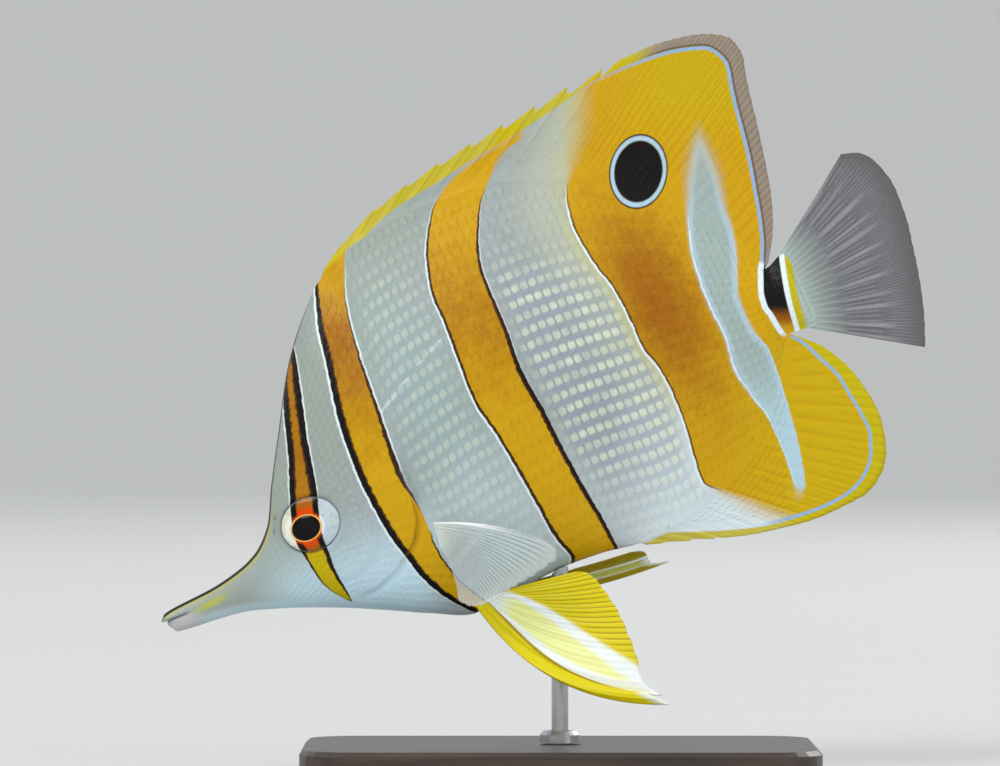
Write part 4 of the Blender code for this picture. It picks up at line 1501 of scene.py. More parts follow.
@dataclass(frozen=True)
class PelvicPaint:
    """A pelvic fin: a yellow spine with an orange line behind it, white streaks over a pale middle, and a
    yellow rear with a deeper line along each ray."""

    name: str
    yellow: Colour = srgb(230, 212, 2)
    orange: Colour = srgb(150, 122, 0)
    middle: Colour = srgb(246, 252, 172)
    white: Colour = srgb(244, 252, 255)
    first: float = 0.17
    broad: float = 0.24
    foot: float = 0.92
    tip: float = 0.3
    streak: float = 1.0

    def material(self) -> Material:
        """The fin's finish, opaque. The pale middle starts at a fixed share across the fin. It ends at a
        share that falls from foot to tip, so that the yellow rear takes in most of the fin's edge.

        Returns:
            The finished material.
        """
        w = Wiring(self.name)
        across, out = w.fields("across", "out")
        rear = across - (self.foot + (self.tip - self.foot) * out)
        behind = across - self.first - (1 - out) * (1 - out) * self.broad
        ray = w.math("COSINE", w.field("ray") * (6 * math.pi))
        streak = w.near(behind - 0.05, 0.015 * self.streak, 0.045 * self.streak)
        root = w.fall(out, 0.06, 0.22) * w.ramp(behind, 0.0, 0.08) * w.fall(across, 0.8, 0.95)
        base = w.lay(
            self.yellow,
            (w.ramp(ray, 0.4, 1.0) * w.ramp(rear, 0.0, 0.1) * 0.7, self.orange),
            (w.ramp(behind, 0.0, 0.03) * w.fall(rear, -0.03, 0.03) * 0.92, self.middle),
            (w.near(behind, 0.008, 0.025) * w.fall(out, 0.7, 0.9) * 0.8, self.orange),
            (streak * 0.95, self.white),
            (w.near(rear + 0.03, 0.025 * self.streak, 0.075 * self.streak) * 0.95, self.white),
            (root * self.streak * 0.85, self.white),
            (w.ramp(out, 0.93, 0.99) * w.fall(rear, -0.02, 0.04) * 0.8, self.white),
        )
        grain = w.noise(0.4, 3.0)
        w.set(Base_Color=base, Roughness=0.34 + 0.15 * grain, Specular_IOR_Level=0.25, Coat_Weight=0.06)
        w.bump(grain * 0.5 + ray * -0.4, 0.05)
        return w.material


@dataclass(frozen=True)
class SatinWood:
    """Dark stained wood under a satin varnish."""

    light: Colour = srgb(70, 50, 38)
    dark: Colour = srgb(34, 25, 20)

    def material(self) -> Material:
        """The grain runs along the base: long streaks with finer pores in them.

        Returns:
            The finished material.
        """
        w = Wiring("stand_wood_finish")
        grain = w.noise(2.2, 5.0, (14.0, 1.0, 1.0))
        pores = w.noise(0.35, 2.0, (20.0, 1.0, 1.0))
        base = w.mix(w.ramp(grain, 0.3, 0.72), self.dark, self.light)
        base = w.mix(w.ramp(pores, 0.6, 0.75) * 0.5, base, self.dark)
        w.set(Base_Color=base, Roughness=0.34 + 0.2 * grain, Coat_Weight=0.3, Coat_Roughness=0.25)
        w.bump(grain * 0.6 + pores * 0.4, 0.04)
        return w.material


@dataclass(frozen=True)
class BrushedSteel:
    """Steel brushed round the rod and the collar."""

    steel: Colour = (0.56, 0.57, 0.58)
    shade: Colour = (0.42, 0.43, 0.45)

    def material(self) -> Material:
        """Fine scratches that run level round the piece.

        Returns:
            The finished material.
        """
        w = Wiring("stand_steel_finish")
        brush = w.noise(0.25, 3.0, (12.0, 12.0, 1.0))
        w.set(Base_Color=w.mix(brush, self.shade, self.steel), Metallic=1.0, Roughness=0.22 + 0.2 * brush)
        w.bump(brush, 0.01)
        return w.material


@dataclass
class Skin:
    """The one skin of the flesh and of the fins on the back and the belly, as columns down the body."""

    steps: tuple = ((0, 1.4, 0.1), (1.4, 20, 0.42), (20, 52, 0.4), (52, 95, 0.46), (124.4, 130, 0.35))
    ray_columns: int = 6
    clear_of_fixed: float = 0.12
    closest: float = 0.03
    flesh_rows: int = 81
    dorsal_rows: int = 28
    anal_rows: int = 20

    def columns(self) -> Grid:
        """Where the columns stand: even steps, with one at each spine and several for each soft ray.

        Returns:
            x of each column.
        """
        even = np.concatenate([np.arange(a, b, step) for a, b, step in self.steps])
        rays = np.linspace(DORSAL.spines_end, DORSAL.end, DORSAL.rays * self.ray_columns + 1)
        ends = [ANAL.start, ANAL.end, DORSAL.start, DORSAL.end]
        fixed = np.array([*rays, *DORSAL.spine_places, *ANAL.spine_places, *ends])
        far = np.abs(even[:, None] - fixed).min(1) > self.clear_of_fixed
        placed = np.unique(np.round(np.concatenate([even[far], fixed]), 6))
        keep = np.append(np.diff(placed) > self.closest, True)
        keep |= np.isin(placed, np.round(ends, 6))
        return placed[keep]

    def heights(self, s: Grid) -> Grid:
        """The rows of the flesh from the belly to the back, closer together towards both edges: a share of
        the way from the widest level of 0.7 sin(90 q) + 0.3 q, for q from -1 to 1.

        Args:
            s: x of each column.

        Returns:
            z of each point, by column and row.
        """
        q = np.linspace(-1, 1, self.flesh_rows)
        share = 0.7 * np.sin(q * math.pi / 2) + 0.3 * q
        level, top, bottom = (c(s)[:, None] for c in (FORM.level, FORM.top, FORM.bottom))
        return level + np.clip(share, 0, None) * (top - level) + np.clip(share, None, 0) * (level - bottom)

    def fin(
        self, shell: Shell, fin: UprightFin, s: Grid, rows: int, flesh: dict[Side, Grid], row: int
    ) -> None:
        """Adds one upright fin on the flesh's edge, and closes its rim.

        Args:
            shell: what the points go into.
            fin: the fin's form.
            s: the columns of the whole body.
            rows: how many rows the fin has.
            flesh: the numbers of the flesh's points, by side.
            row: the flesh's row that the fin grows from, 0 for the belly or -1 for the back.
        """
        on = (s > fin.start - 1e-4) & (s < fin.end + 1e-4)
        along, share = np.meshgrid(s[on], np.linspace(0, 1, rows + 1)[1:], indexing="ij")
        grids = {}
        for side in Side:
            numbers = shell.add(
                fin.place(along, share, side), upper=float(row == -1), out=share, ray=fin.ray_number(along),
                fin=share * fin.length(along),
            )
            grids[side] = np.concatenate([flesh[side][on, row][:, None], numbers], 1)
            shell.quads(grids[side])
        for line in (np.s_[0, :], np.s_[-1, :], np.s_[:, -1]):
            shell.strip(grids[Side.LEFT][line], grids[Side.RIGHT][line])
        first, last = np.flatnonzero(on)[[0, -1]]
        for part in (np.s_[: first + 1], np.s_[last:]):
            shell.strip(flesh[Side.LEFT][part, row], flesh[Side.RIGHT][part, row])

    def build(self, material: Material) -> Object:
        """Makes the skin, both sides and all closing strips in one mesh.

        Args:
            material: its finish.

        Returns:
            The skin.
        """
        s, shell, flesh = self.columns(), Shell(), {}
        z = self.heights(s)
        x = s[:, None] + FORM.lips(s[:, None], z)
        half = FORM.half(s[:, None] + 0 * z, z)
        for side in Side:
            ray = np.clip(DORSAL.ray_number(s), 0, None)[:, None]
            flesh[side] = shell.add(np.stack([x, side * half, z], -1), out=0.0, ray=ray, fin=0.0, upper=0.0)
            shell.quads(flesh[side])
        self.fin(shell, DORSAL, s, self.dorsal_rows, flesh, -1)
        self.fin(shell, ANAL, s, self.anal_rows, flesh, 0)
        for column in (0, -1):
            shell.strip(flesh[Side.LEFT][column], flesh[Side.RIGHT][column])
        shell.paint()
        made = shell.build("fish_skin", material, "skin")
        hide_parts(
            "jaw_upper", "jaw_lower", "snout", "head", "gill_cover_left", "gill_cover_right", "trunk",
            "tail_stalk", "dorsal_fin_spiny", "dorsal_fin_soft", "anal_fin",
        )
        return made


@dataclass
class ScaleCoat:
    """The scales: low domed plates in rows along the body, each with its free rear lip over the next one."""

    along: tuple[float, ...] = (0.0, 0.28, 0.55, 0.82, 1.0, 1.0)
    lift: tuple[float, ...] = (-0.05, 0.005, 0.025, 0.04, 0.035, -0.06)
    across: tuple[float, ...] = (-1.0, -0.65, 0.0, 0.65, 1.0)
    overlap: float = 1.14
    column_pitch: Curve = Curve({22: 1.05, 34: 1.15, 46: 1.45, 58: 1.62, 90: 1.62, 110: 1.4, 127: 1.1})
    row_pitch: Curve = Curve({22: 1.1, 34: 1.25, 46: 1.9, 58: 2.6, 90: 2.6, 108: 2.1, 127: 1.15})
    start: float = 21.5
    end: float = 127.0
    fin_pitch: float = 1.15
    most_rows: int = 46
    steepest: float = 2.6
    sink: float = 0.22
    fin_sink: float = 0.09
    seed: int = 7
    patch: float = 0.003
    unroll: float = 0.003

    def height(self, x: Grid, z: Grid) -> Grid:
        """A row's height in the side view: the row pitch over the square root of 1 + (dh/dz)^2."""
        return self.row_pitch(x) / np.sqrt(1 + np.clip(FORM.lean(x, z), -3, 3) ** 2)

    def slope_back(self, a: Grid, b: Grid) -> Grid:
        """How far behind its root each point of a plate lies, in lengths. The plate's corners are rounded."""
        return self.overlap * (a - 0.14 * b**2 * a)

    def roots(self) -> tuple[Grid, ...]:
        """Where each scale of the flesh is rooted. Columns stand a pitch apart. Rows start at the widest
        level and step up and down by the row pitch over the square root of 1 + (dh/dz)^2, so that they stay
        even on the surface as it turns away.

        Returns:
            x, z, the length, the height and the row's slope of each scale.
        """
        x = [self.start]
        while x[-1] < self.end:
            x.append(x[-1] + float(self.column_pitch(np.array(x[-1]))))
        x = np.array(x)
        rows = []
        for way in (1, -1):
            z = FORM.level(x) + way * 0.5 * self.row_pitch(x)
            for _ in range(self.most_rows):
                rows.append(z)
                z = z + way * self.height(x, z)
        z = np.array(rows)
        slope = np.gradient(z, axis=1) / np.gradient(x)
        x = np.broadcast_to(x, z.shape)
        length, room = self.column_pitch(x), 0.405 * self.row_pitch(x)
        gill, cheek = FORM.gill(x, z), -signed_distance(x, z, FORM.cheek_edge)
        clear = (z < FORM.top(x) - room) & (z > FORM.bottom(x) + room)
        clear &= np.abs(FORM.lean(x, z)) < self.steepest
        clear &= ~((gill > -0.7) & (gill < 1.15 * self.overlap * length) & (z < 9.6) & (x > 33))
        clear &= ~((cheek > -0.6) & (cheek < 1.2 * self.overlap * length) & (z < 8) & (x < 46))
        clear &= (FORM.eye_share(x + 0.5, z) > 1.3) & (np.hypot(x - 25.8, z - 7.1) > 2.4)
        return tuple(a[clear] for a in (x, z, length, self.height(x, z), np.clip(slope, -1.2, 1.2)))

    def fin_roots(self, fin: UprightFin) -> tuple[Grid, ...]:
        """Where each scale of an upright fin is rooted, over the inner part of the fin.

        Args:
            fin: the fin.

        Returns:
            s, the distance from the foot, and the fin's length there.
        """
        s = np.arange(fin.start + 1.5, fin.end - 1.0, self.fin_pitch)
        d = np.arange(0.45, 30, self.fin_pitch)
        s, d = (a.ravel() for a in np.meshgrid(s, d, indexing="ij"))
        length = fin.length(s)
        flat = fin.place(s, d / length, Side.LEFT)
        found = MARKINGS.read(*POSE.side_view(flat[:, 0], flat[:, 2]))
        reach = np.where(s < fin.spines_end, 0.5, 0.85)
        keep = (d < length * reach - 0.6) & (found["edge"] < -1.9) & (found["bar_front"] < -1.2)
        return s[keep], d[keep], length[keep]

    def spread(self, size: int) -> tuple[Grid, Grid, Grid]:
        """Each plate's own grid of places, with small seeded differences in its lift.

        Args:
            size: how many plates there are.

        Returns:
            The share along a plate, the share across it, and each plate's lift there in millimetres.
        """
        a, b = np.meshgrid(self.along, self.across, indexing="ij")
        rise = np.array(self.lift)[:, None] * (1 - b**4) - 0.06 * b**4
        vary = np.random.default_rng(self.seed).uniform(0.75, 1.15, size)
        return a, b, np.where(rise > 0, rise * vary[:, None, None], rise)

    def unwrap(self, x: Grid, z: Grid, side: Side) -> tuple[Grid, Grid]:
        """A root's place on the skin laid flat: the place along the body, and the length of skin from the
        widest level up or down to the root, the sum of the square root of 1 + (dh/dz)^2 over 24 short steps.

        Args:
            x: x in millimetres.
            z: z in millimetres.
            side: the fish's side.

        Returns:
            u and v of each root.
        """
        level = FORM.level(x)
        share = (np.arange(24) + 0.5) / 24
        path = level[:, None] + (z - level)[:, None] * share
        lean = FORM.lean(x[:, None] + 0 * path, path, 0.05)
        arc = (z - level) * np.sqrt(1 + np.clip(lean, -4, 4) ** 2).mean(1)
        return 0.25 + 0.5 * (side > 0) + (x - 75) * self.unroll, 0.5 + arc * self.unroll

    def plates(
        self, shell: Shell, points: Grid, under: Grid, u: Grid, v: Grid, a: Grid, b: Grid, **own: Grid
    ) -> None:
        """Adds closed plates: the domed top, and a shallow cone of faces under it that meet inside the flesh.

        Args:
            shell: what the plates go into.
            points: each plate's grid of points.
            under: the point under each plate's middle.
            u: where each root lies on the flat skin.
            v: the same, across.
            a: the share along a plate.
            b: the share across a plate.
            own: the fin's own fields at the points, where a plate stands on a fin.
        """
        shape = points.shape[:-1]
        fields = {name: np.broadcast_to(own.get(name, 0.0), shape) for name in ("out", "ray", "fin", "upper")}
        numbers = shell.add(
            points, along=a, across=b, bake_u=u[:, None, None] + self.patch * (a - 0.5),
            bake_v=v[:, None, None] + self.patch * b / 2, **fields,
        )
        shell.quads(numbers)
        middle = {name: value[:, 2, 2] for name, value in fields.items()}
        centre = shell.add(under, along=0.5, across=0.0, bake_u=u, bake_v=v, **middle)
        rim = [numbers[:, :-1, 0], numbers[:, -1, :-1], numbers[:, :0:-1, -1], numbers[:, 0, :0:-1]]
        rim = np.concatenate(rim, 1)
        fan = np.stack([np.broadcast_to(centre[:, None], rim.shape), rim, np.roll(rim, -1, 1)], -1)
        shell.polygons(fan.reshape(-1, 3), flat=True)

    def finish(self, shell: Shell, name: str, material: Material) -> Object:
        """Makes the piece, with its paint's fields and the flat skin's map.

        Args:
            shell: the plates.
            name: the piece's name.
            material: its finish.

        Returns:
            The piece.
        """
        shell.paint()
        flat = np.stack([np.concatenate(shell.fields.pop(k)) for k in ("bake_u", "bake_v")], -1)
        made = shell.build(name, material, "skin")
        corners = np.zeros(len(made.data.loops), np.int32)
        made.data.loops.foreach_get("vertex_index", corners)
        layer = made.data.uv_layers.new(name="OFBake")
        layer.data.foreach_set("uv", flat[corners].astype(np.float32).ravel())
        return made

    def build_flesh(self, side: Side, material: Material) -> Object:
        """The scales of one side of the head, body and stalk, each point set on the skin along its normal.

        Args:
            side: the fish's side.
            material: its finish.

        Returns:
            The piece.
        """
        x, z, length, height, slope = (v[:, None, None] for v in self.roots())
        a, b, lift = self.spread(len(x))
        px = x + length * self.slope_back(a, b)
        pz = z + slope * (px - x) + b * height * 0.49 * (1 - 0.12 * a**3)
        pz = np.clip(pz, FORM.bottom(px) + 0.03, FORM.top(px) - 0.03)
        half, normal = FORM.half(px, pz), FORM.normal(px, pz)
        lift = np.where(lift > 0, lift * (0.35 + 0.65 * ramp(x, 40, 54)), lift)
        skin, mirror = np.stack([px, half, pz], -1), np.array([1, side, 1])
        points = (skin + normal * lift[..., None]) * mirror
        under = (skin - self.sink * normal)[:, 2, 2] * mirror
        shell = Shell()
        u, v = self.unwrap(x[:, 0, 0], z[:, 0, 0], side)
        self.plates(shell, points, under, u, v, a, b)
        return self.finish(shell, f"scales_body_{side.word}", material)

    def build_fins(self, side: Side, material: Material) -> Object:
        """The small scales that run out over the inner part of the upright fins.

        Args:
            side: the fish's side.
            material: its finish.

        Returns:
            The piece.
        """
        shell = Shell()
        for fin, way in ((DORSAL, 1), (ANAL, -1)):
            s, d, length = (v[:, None, None] for v in self.fin_roots(fin))
            a, b, lift = self.spread(len(s))
            pd = d + self.fin_pitch * self.slope_back(a, b)
            ps = np.clip(s + b * self.fin_pitch * 0.48, fin.start, fin.end) + 0 * pd
            share = np.clip(pd / length, 0, 1)
            points = fin.place(ps, share, side, lift * 0.7)
            under = fin.place(ps, share, side, -self.fin_sink)[:, 2, 2]
            u, v = self.unwrap(s[:, 0, 0], fin.foot(s[:, 0, 0]), side)
            self.plates(
                shell, points, under, u, v + way * d[:, 0, 0] * self.unroll, a, b,
                out=share, ray=fin.ray_number(ps), fin=pd, upper=np.float64(way > 0),
            )
        return self.finish(shell, f"scales_fins_{side.word}", material)


@dataclass
class Eyes:
    """The two eyes: an oval clear dome over the painted iris, with the pupil standing a little proud."""

    dome: float = 1.15
    sunk: float = 0.1
    deep: float = 1.5
    inset: float = 0.3
    forward: float = math.radians(9)
    pupil: tuple[float, float] = (-0.9, -0.25)
    pupil_radii: tuple[float, float] = (2.63, 2.15)
    pupil_proud: float = 0.16
    rings: int = 44
    sides: int = 120

    def build(self, side: Side, material: Material) -> Object:
        """Makes one eye: a dome, with the height of the dome times sqrt(1 - (0.96 r)^2) over an oval rim, a
        wall down into the orbit, and a flat back.

        Args:
            side: the fish's side.
            material: its finish.

        Returns:
            The eye.
        """
        turn = np.arange(self.sides) * 2 * math.pi / self.sides
        r = np.append(np.linspace(0, 1, self.rings)[1:], [1.02, 1.0])
        height = self.dome * np.sqrt(np.clip(1 - (0.96 * r) ** 2, 0.0784, 1)) - self.sunk - self.inset
        height[-2:] = (-self.sunk - 2 * self.inset, -self.deep)
        r, height = np.append(r, 0.0)[:, None], np.append(height, self.dome - self.sunk - self.inset)[:, None]
        along, upward = r * np.cos(turn) * FORM.eye_radii[0], r * np.sin(turn) * FORM.eye_radii[1]
        out = height + 0 * turn
        (pupil_x, pupil_z), (wide, tall) = self.pupil, self.pupil_radii
        away = np.hypot((along - pupil_x) / wide, (upward - pupil_z) / tall)
        out += self.pupil_proud * fall(away, 0.75, 1.05) * (out > 0)
        centre = float(FORM.plain(np.array(FORM.eye[0]), np.array(FORM.eye[1])))
        cos, sin = math.cos(self.forward), math.sin(self.forward)
        points = np.stack([
            FORM.eye[0] + along * cos - out * sin,
            side * (centre + along * sin + out * cos),
            FORM.eye[1] + upward,
        ], -1)
        shell = Shell()
        rim, gap = r + 0 * turn, (away - 1) * (wide + tall) / 2
        numbers = shell.add(points[:-1], rim=rim[:-1], pupil=gap[:-1])
        pole = shell.add(points[-1:, :1], rim=0.0, pupil=gap[-1:, :1])[0, 0]
        looped = np.concatenate([numbers, numbers[:, :1]], 1)
        shell.quads(looped)
        fan = np.stack([np.full(self.sides, pole), looped[0, :-1], looped[0, 1:]], -1)
        shell.polygons(fan)
        shell.polygons(numbers[-1][None])
        shell.fields["band"] = [painted(np.concatenate(shell.points))["band"]]
        made = shell.build(f"eyeball_{side.word}", material, "eye")
        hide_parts(f"eye_{side.word}")
        return made


@dataclass
class Fan:
    """A fin of rays that spread from a short foot. A ray leaves its foot, bows, and ends at its tip."""

    side: Side = Side.LEFT
    rays: int = 17
    per_ray: int = 8
    rows: int = 44
    membrane: float = 0.13
    ray: float = 0.14
    scallop: float = 0.015

    def feet(self, rise: Grid) -> Grid:
        """Where each ray starts."""
        raise NotImplementedError

    def tips(self, rise: Grid) -> Grid:
        """Where each ray ends."""
        raise NotImplementedError

    def bow(self, rise: Grid) -> Grid:
        """How far the middle of each ray stands off the straight line."""
        return np.zeros((len(rise), 3))

    def outward(self) -> Grid:
        """The way that the fin's outer face looks."""
        return np.array([0.0, self.side, 0.0])

    def bend(self, points: Grid) -> Grid:
        """A last bend of the whole fin."""
        return points

    def on_ray(self, rise: Grid) -> Grid:
        """1 on each ray and 0 midway between two: 0.5 - 0.5 cos(360 n r), for n rays and r from 0 to 1."""
        return 0.5 - 0.5 * np.cos(2 * math.pi * rise * self.rays)

    def thickness(self, rise: Grid, share: Grid) -> Grid:
        """Half the thickness: a membrane that thins to its edge, with a rounded ridge on each ray."""
        return (self.membrane + self.ray * self.on_ray(rise) ** 1.5) * (1 - 0.55 * share**2)

    def build(self, name: str, material: Material, slot: str, *nodes: str) -> Object:
        """Makes the fin, with both faces and its rim.

        Args:
            name: the piece's name.
            material: its finish.
            slot: the record's name for that finish; not used.
            nodes: the solids that it stands for.

        Returns:
            The fin.
        """
        rise = np.linspace(0, 1, self.rays * self.per_ray + 1)
        share = np.linspace(0, 1, self.rows)
        feet, tips = self.feet(rise), self.tips(rise)
        tips = tips - (tips - feet) * (self.scallop * (1 - self.on_ray(rise)))[:, None]
        t = share[None, :, None]
        middle = feet[:, None] * (1 - t) + tips[:, None] * t + 4 * self.bow(rise)[:, None] * t * (1 - t)
        middle = self.bend(middle)
        normal = np.cross(np.gradient(middle, axis=0), np.gradient(middle, axis=1))
        normal /= np.maximum(np.linalg.norm(normal, axis=-1, keepdims=True), 1e-9)
        normal *= np.where((normal * self.outward()).sum(-1, keepdims=True) < 0, -1, 1)
        half = self.thickness(rise[:, None], share[None])[..., None]
        shell = Shell()
        fields = {"out": share[None], "ray": rise[:, None] * self.rays, "across": rise[:, None]}
        faces = [shell.add(middle + way * normal * half, **fields) for way in (1, -1)]
        for grid in faces:
            shell.quads(grid)
        for line in (np.s_[0, :], np.s_[-1, :], np.s_[:, 0], np.s_[:, -1]):
            shell.strip(faces[0][line], faces[1][line])
        made = shell.build(name, material, slot)
        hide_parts(*nodes)
        return made


@dataclass
class TailFin(Fan):
    """The tail: a rounded fan from the end of the stalk that swings a little to the fish's right."""

    rays: int = 17
    per_ray: int = 12
    ray: float = 0.05
    scallop: float = 0.003
    root: float = 126.2
    stalk_end: float = 127.5
    swing: float = 0.0045
    edge: Curve = Curve({
        0: (144.4, -13.2), 0.15: (147.0, -7.0), 0.3: (148.8, -1.2), 0.45: (150.1, 4.2), 0.6: (151.2, 9.5),
        0.75: (151.6, 15.2), 0.87: (150.7, 19.8), 0.95: (148.7, 23.1), 1: (145.4, 24.5),
    })

    def feet(self, rise: Grid) -> Grid:
        """The rays start inside the end of the stalk.

        Args:
            rise: places across the fin, from 0 at its first ray to 1 at its last.

        Returns:
            x, y and z of each place, in millimetres.
        """
        x = np.full_like(rise, self.root)
        low, high = FORM.bottom(x) + 0.3, FORM.top(x) - 0.3
        return np.stack([x, 0 * x, low + (high - low) * rise], -1)

    def tips(self, rise: Grid) -> Grid:
        """The rear edge."""
        edge = self.edge(rise)
        return np.stack([edge[:, 0], 0 * rise, edge[:, 1]], -1)

    def bend(self, points: Grid) -> Grid:
        """The swing to the right grows with the square of the distance behind the stalk.

        Args:
            points: the fin's points.

        Returns:
            The points in their bent places.
        """
        points = points.copy()
        points[..., 1] += self.swing * np.clip(points[..., 0] - self.stalk_end, 0, None) ** 2
        return points

    def thickness(self, rise: Grid, share: Grid) -> Grid:
        """The stalk's own thickness dies away over the first few millimetres.

        Args:
            rise: places across the fin, from 0 at its first ray to 1 at its last.
            share: how far out along the ray, from 0 to 1.

        Returns:
            Half the thickness in millimetres.
        """
        fade = np.exp(-share * 9)
        foot = self.feet(rise[:, 0])
        root = FORM.plain(foot[:, 0], foot[:, 2])[:, None] * 0.9
        return root * fade + super().thickness(rise, share) * (1 - fade)


@dataclass
class PectoralFin(Fan):
    """The clear fan behind the gill cover, swept down and back."""

    rays: int = 14
    per_ray: int = 10
    membrane: float = 0.08
    ray: float = 0.05
    front: float = 50.9
    top: float = -4.2
    base: float = 4.6
    length: Curve = Curve({0: 10.0, 0.15: 12.6, 0.35: 14.6, 0.6: 17.0, 0.8: 20.4, 0.93: 22.8, 1: 21.0})

    def feet(self, rise: Grid) -> Grid:
        """A short upright base just behind the gill cover, sunk a little into the body.

        Args:
            rise: places across the fin, from 0 at its first ray to 1 at its last.

        Returns:
            x, y and z of each place, in millimetres.
        """
        x = self.front + 0.5 * rise
        z = self.top - self.base * (1 - rise)
        return np.stack([x, self.side * (FORM.plain(x, z) - 0.15), z], -1)

    def angle(self, rise: Grid) -> Grid:
        """Each ray's angle to the body's axis: the rays turn from 96 degrees below it to 34 below it."""
        return np.radians(-96 + 62 * rise)

    def tips(self, rise: Grid) -> Grid:
        """The rays flare outwards, the upper ones more.

        Args:
            rise: places across the fin, from 0 at its first ray to 1 at its last.

        Returns:
            x, y and z of each place, in millimetres.
        """
        angle, flare = self.angle(rise), 0.3 + 0.1 * rise
        way = np.stack([np.cos(angle), self.side * flare, np.sin(angle)], -1)
        return self.feet(rise) + self.length(rise)[:, None] * way

    def bow(self, rise: Grid) -> Grid:
        """The fin cups towards the body, and its rays arch up and back before they turn down.

        Args:
            rise: places across the fin, from 0 at its first ray to 1 at its last.

        Returns:
            How far each ray's middle stands off, in millimetres.
        """
        angle = self.angle(rise)
        way = np.stack([-0.06 * np.sin(angle), 0.03 * self.side + 0 * rise, 0.06 * np.cos(angle)], -1)
        return self.length(rise)[:, None] * way


@dataclass
class PelvicFin(Fan):
    """A stout spine and branched rays that fan from a short base on the belly."""

    rays: int = 10
    per_ray: int = 12
    membrane: float = 0.2
    ray: float = 0.12
    scallop: float = 0.008
    front: float = 52.0
    back: float = 57.0
    beside: float = 3.2
    edges: tuple[Curve, Curve] = (
        Curve({
            0: (76.2, -51.2), 0.1: (73.2, -47.6), 0.17: (75.4, -48.9), 0.25: (73.4, -45.6),
            0.4: (74.4, -40.0), 0.6: (74.7, -33.4), 0.8: (73.9, -27.4), 0.92: (72.6, -24.0), 1: (70.8, -22.9),
        }),
        Curve({
            0: (87.2, -29.0), 0.2: (83.8, -27.6), 0.5: (83.6, -25.6), 0.8: (82.2, -24.6), 1: (77.0, -23.9),
        }),
    )
    spreads: tuple[Curve, Curve] = (Curve({0: 15.0, 0.5: 9.5, 1: 5.2}), Curve({0: 9.6, 0.5: 7.4, 1: 5.4}))
    bows: tuple[float, float] = (5.3, 1.4)

    def mine(self, pair: tuple) -> Curve | float:
        """This side's one of a pair given left first."""
        return pair[0 if self.side is Side.LEFT else 1]

    def feet(self, rise: Grid) -> Grid:
        """A short row on the belly, sunk into the body."""
        x = self.front + (self.back - self.front) * rise
        return np.stack([x, np.full_like(x, self.side * self.beside), FORM.bottom(x) + 1.5], -1)

    def tips(self, rise: Grid) -> Grid:
        """The fin's edge from the leading spine to the inmost ray."""
        edge = self.mine(self.edges)(rise)
        return np.stack([edge[:, 0], self.side * self.mine(self.spreads)(rise), edge[:, 1]], -1)

    def bow(self, rise: Grid) -> Grid:
        """The spine bows forward most, and each ray a little towards the midline.

        Args:
            rise: places across the fin, from 0 at its first ray to 1 at its last.

        Returns:
            How far each ray's middle stands off, in millimetres.
        """
        chord = self.tips(rise) - self.feet(rise)
        forward = np.stack([chord[:, 2], 0 * rise, -chord[:, 0]], -1)
        forward /= np.linalg.norm(forward, axis=1, keepdims=True)
        found = forward * (self.mine(self.bows) * (1 - rise) ** 1.4)[:, None]
        found[:, 1] -= self.side * 0.8
        return found

    def thickness(self, rise: Grid, share: Grid) -> Grid:
        """The leading spine is about twice as stout as the soft rays."""
        spine = 0.34 * bell(rise * self.rays - 0.5, 0.45) * (1 - 0.6 * share)
        return super().thickness(rise, share) + spine


@dataclass
class Stand:
    """The finish of the plain display stand, whose solids stay as they are."""

    wood_nodes: tuple[str, ...] = ("stand_base",)
    steel_nodes: tuple[str, ...] = ("stand_rod", "stand_collar")

    def dress(self) -> None:
        """Gives each solid of the stand its finish."""
        wood, steel = SatinWood().material(), BrushedSteel().material()
        for names, finish in ((self.wood_nodes, wood), (self.steel_nodes, steel)):
            for name in names:
                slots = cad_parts[name].material_slots
                if slots:
                    slots[0].material = finish
                else:
                    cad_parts[name].data.materials.append(finish)


@dataclass(frozen=True)
class Lamp:
    """One soft square lamp. Its place and size are in metres."""

    name: str
    place: tuple[float, float, float]
    size: float
    watts: float
    tint: Colour = (1.0, 1.0, 1.0)

    def hang(self, aim: Vector) -> None:
        """Adds the lamp to the scene, turned towards a point.

        Args:
            aim: the point, in metres.
        """
        light = bpy.data.lights.new(self.name, "AREA")
        light.energy, light.size, light.color = self.watts, self.size, self.tint
        made = add_object(self.name, light)
        made.location = self.place
        made.rotation_euler = (Vector(self.place) - aim).to_track_quat("Z", "Y").to_euler()


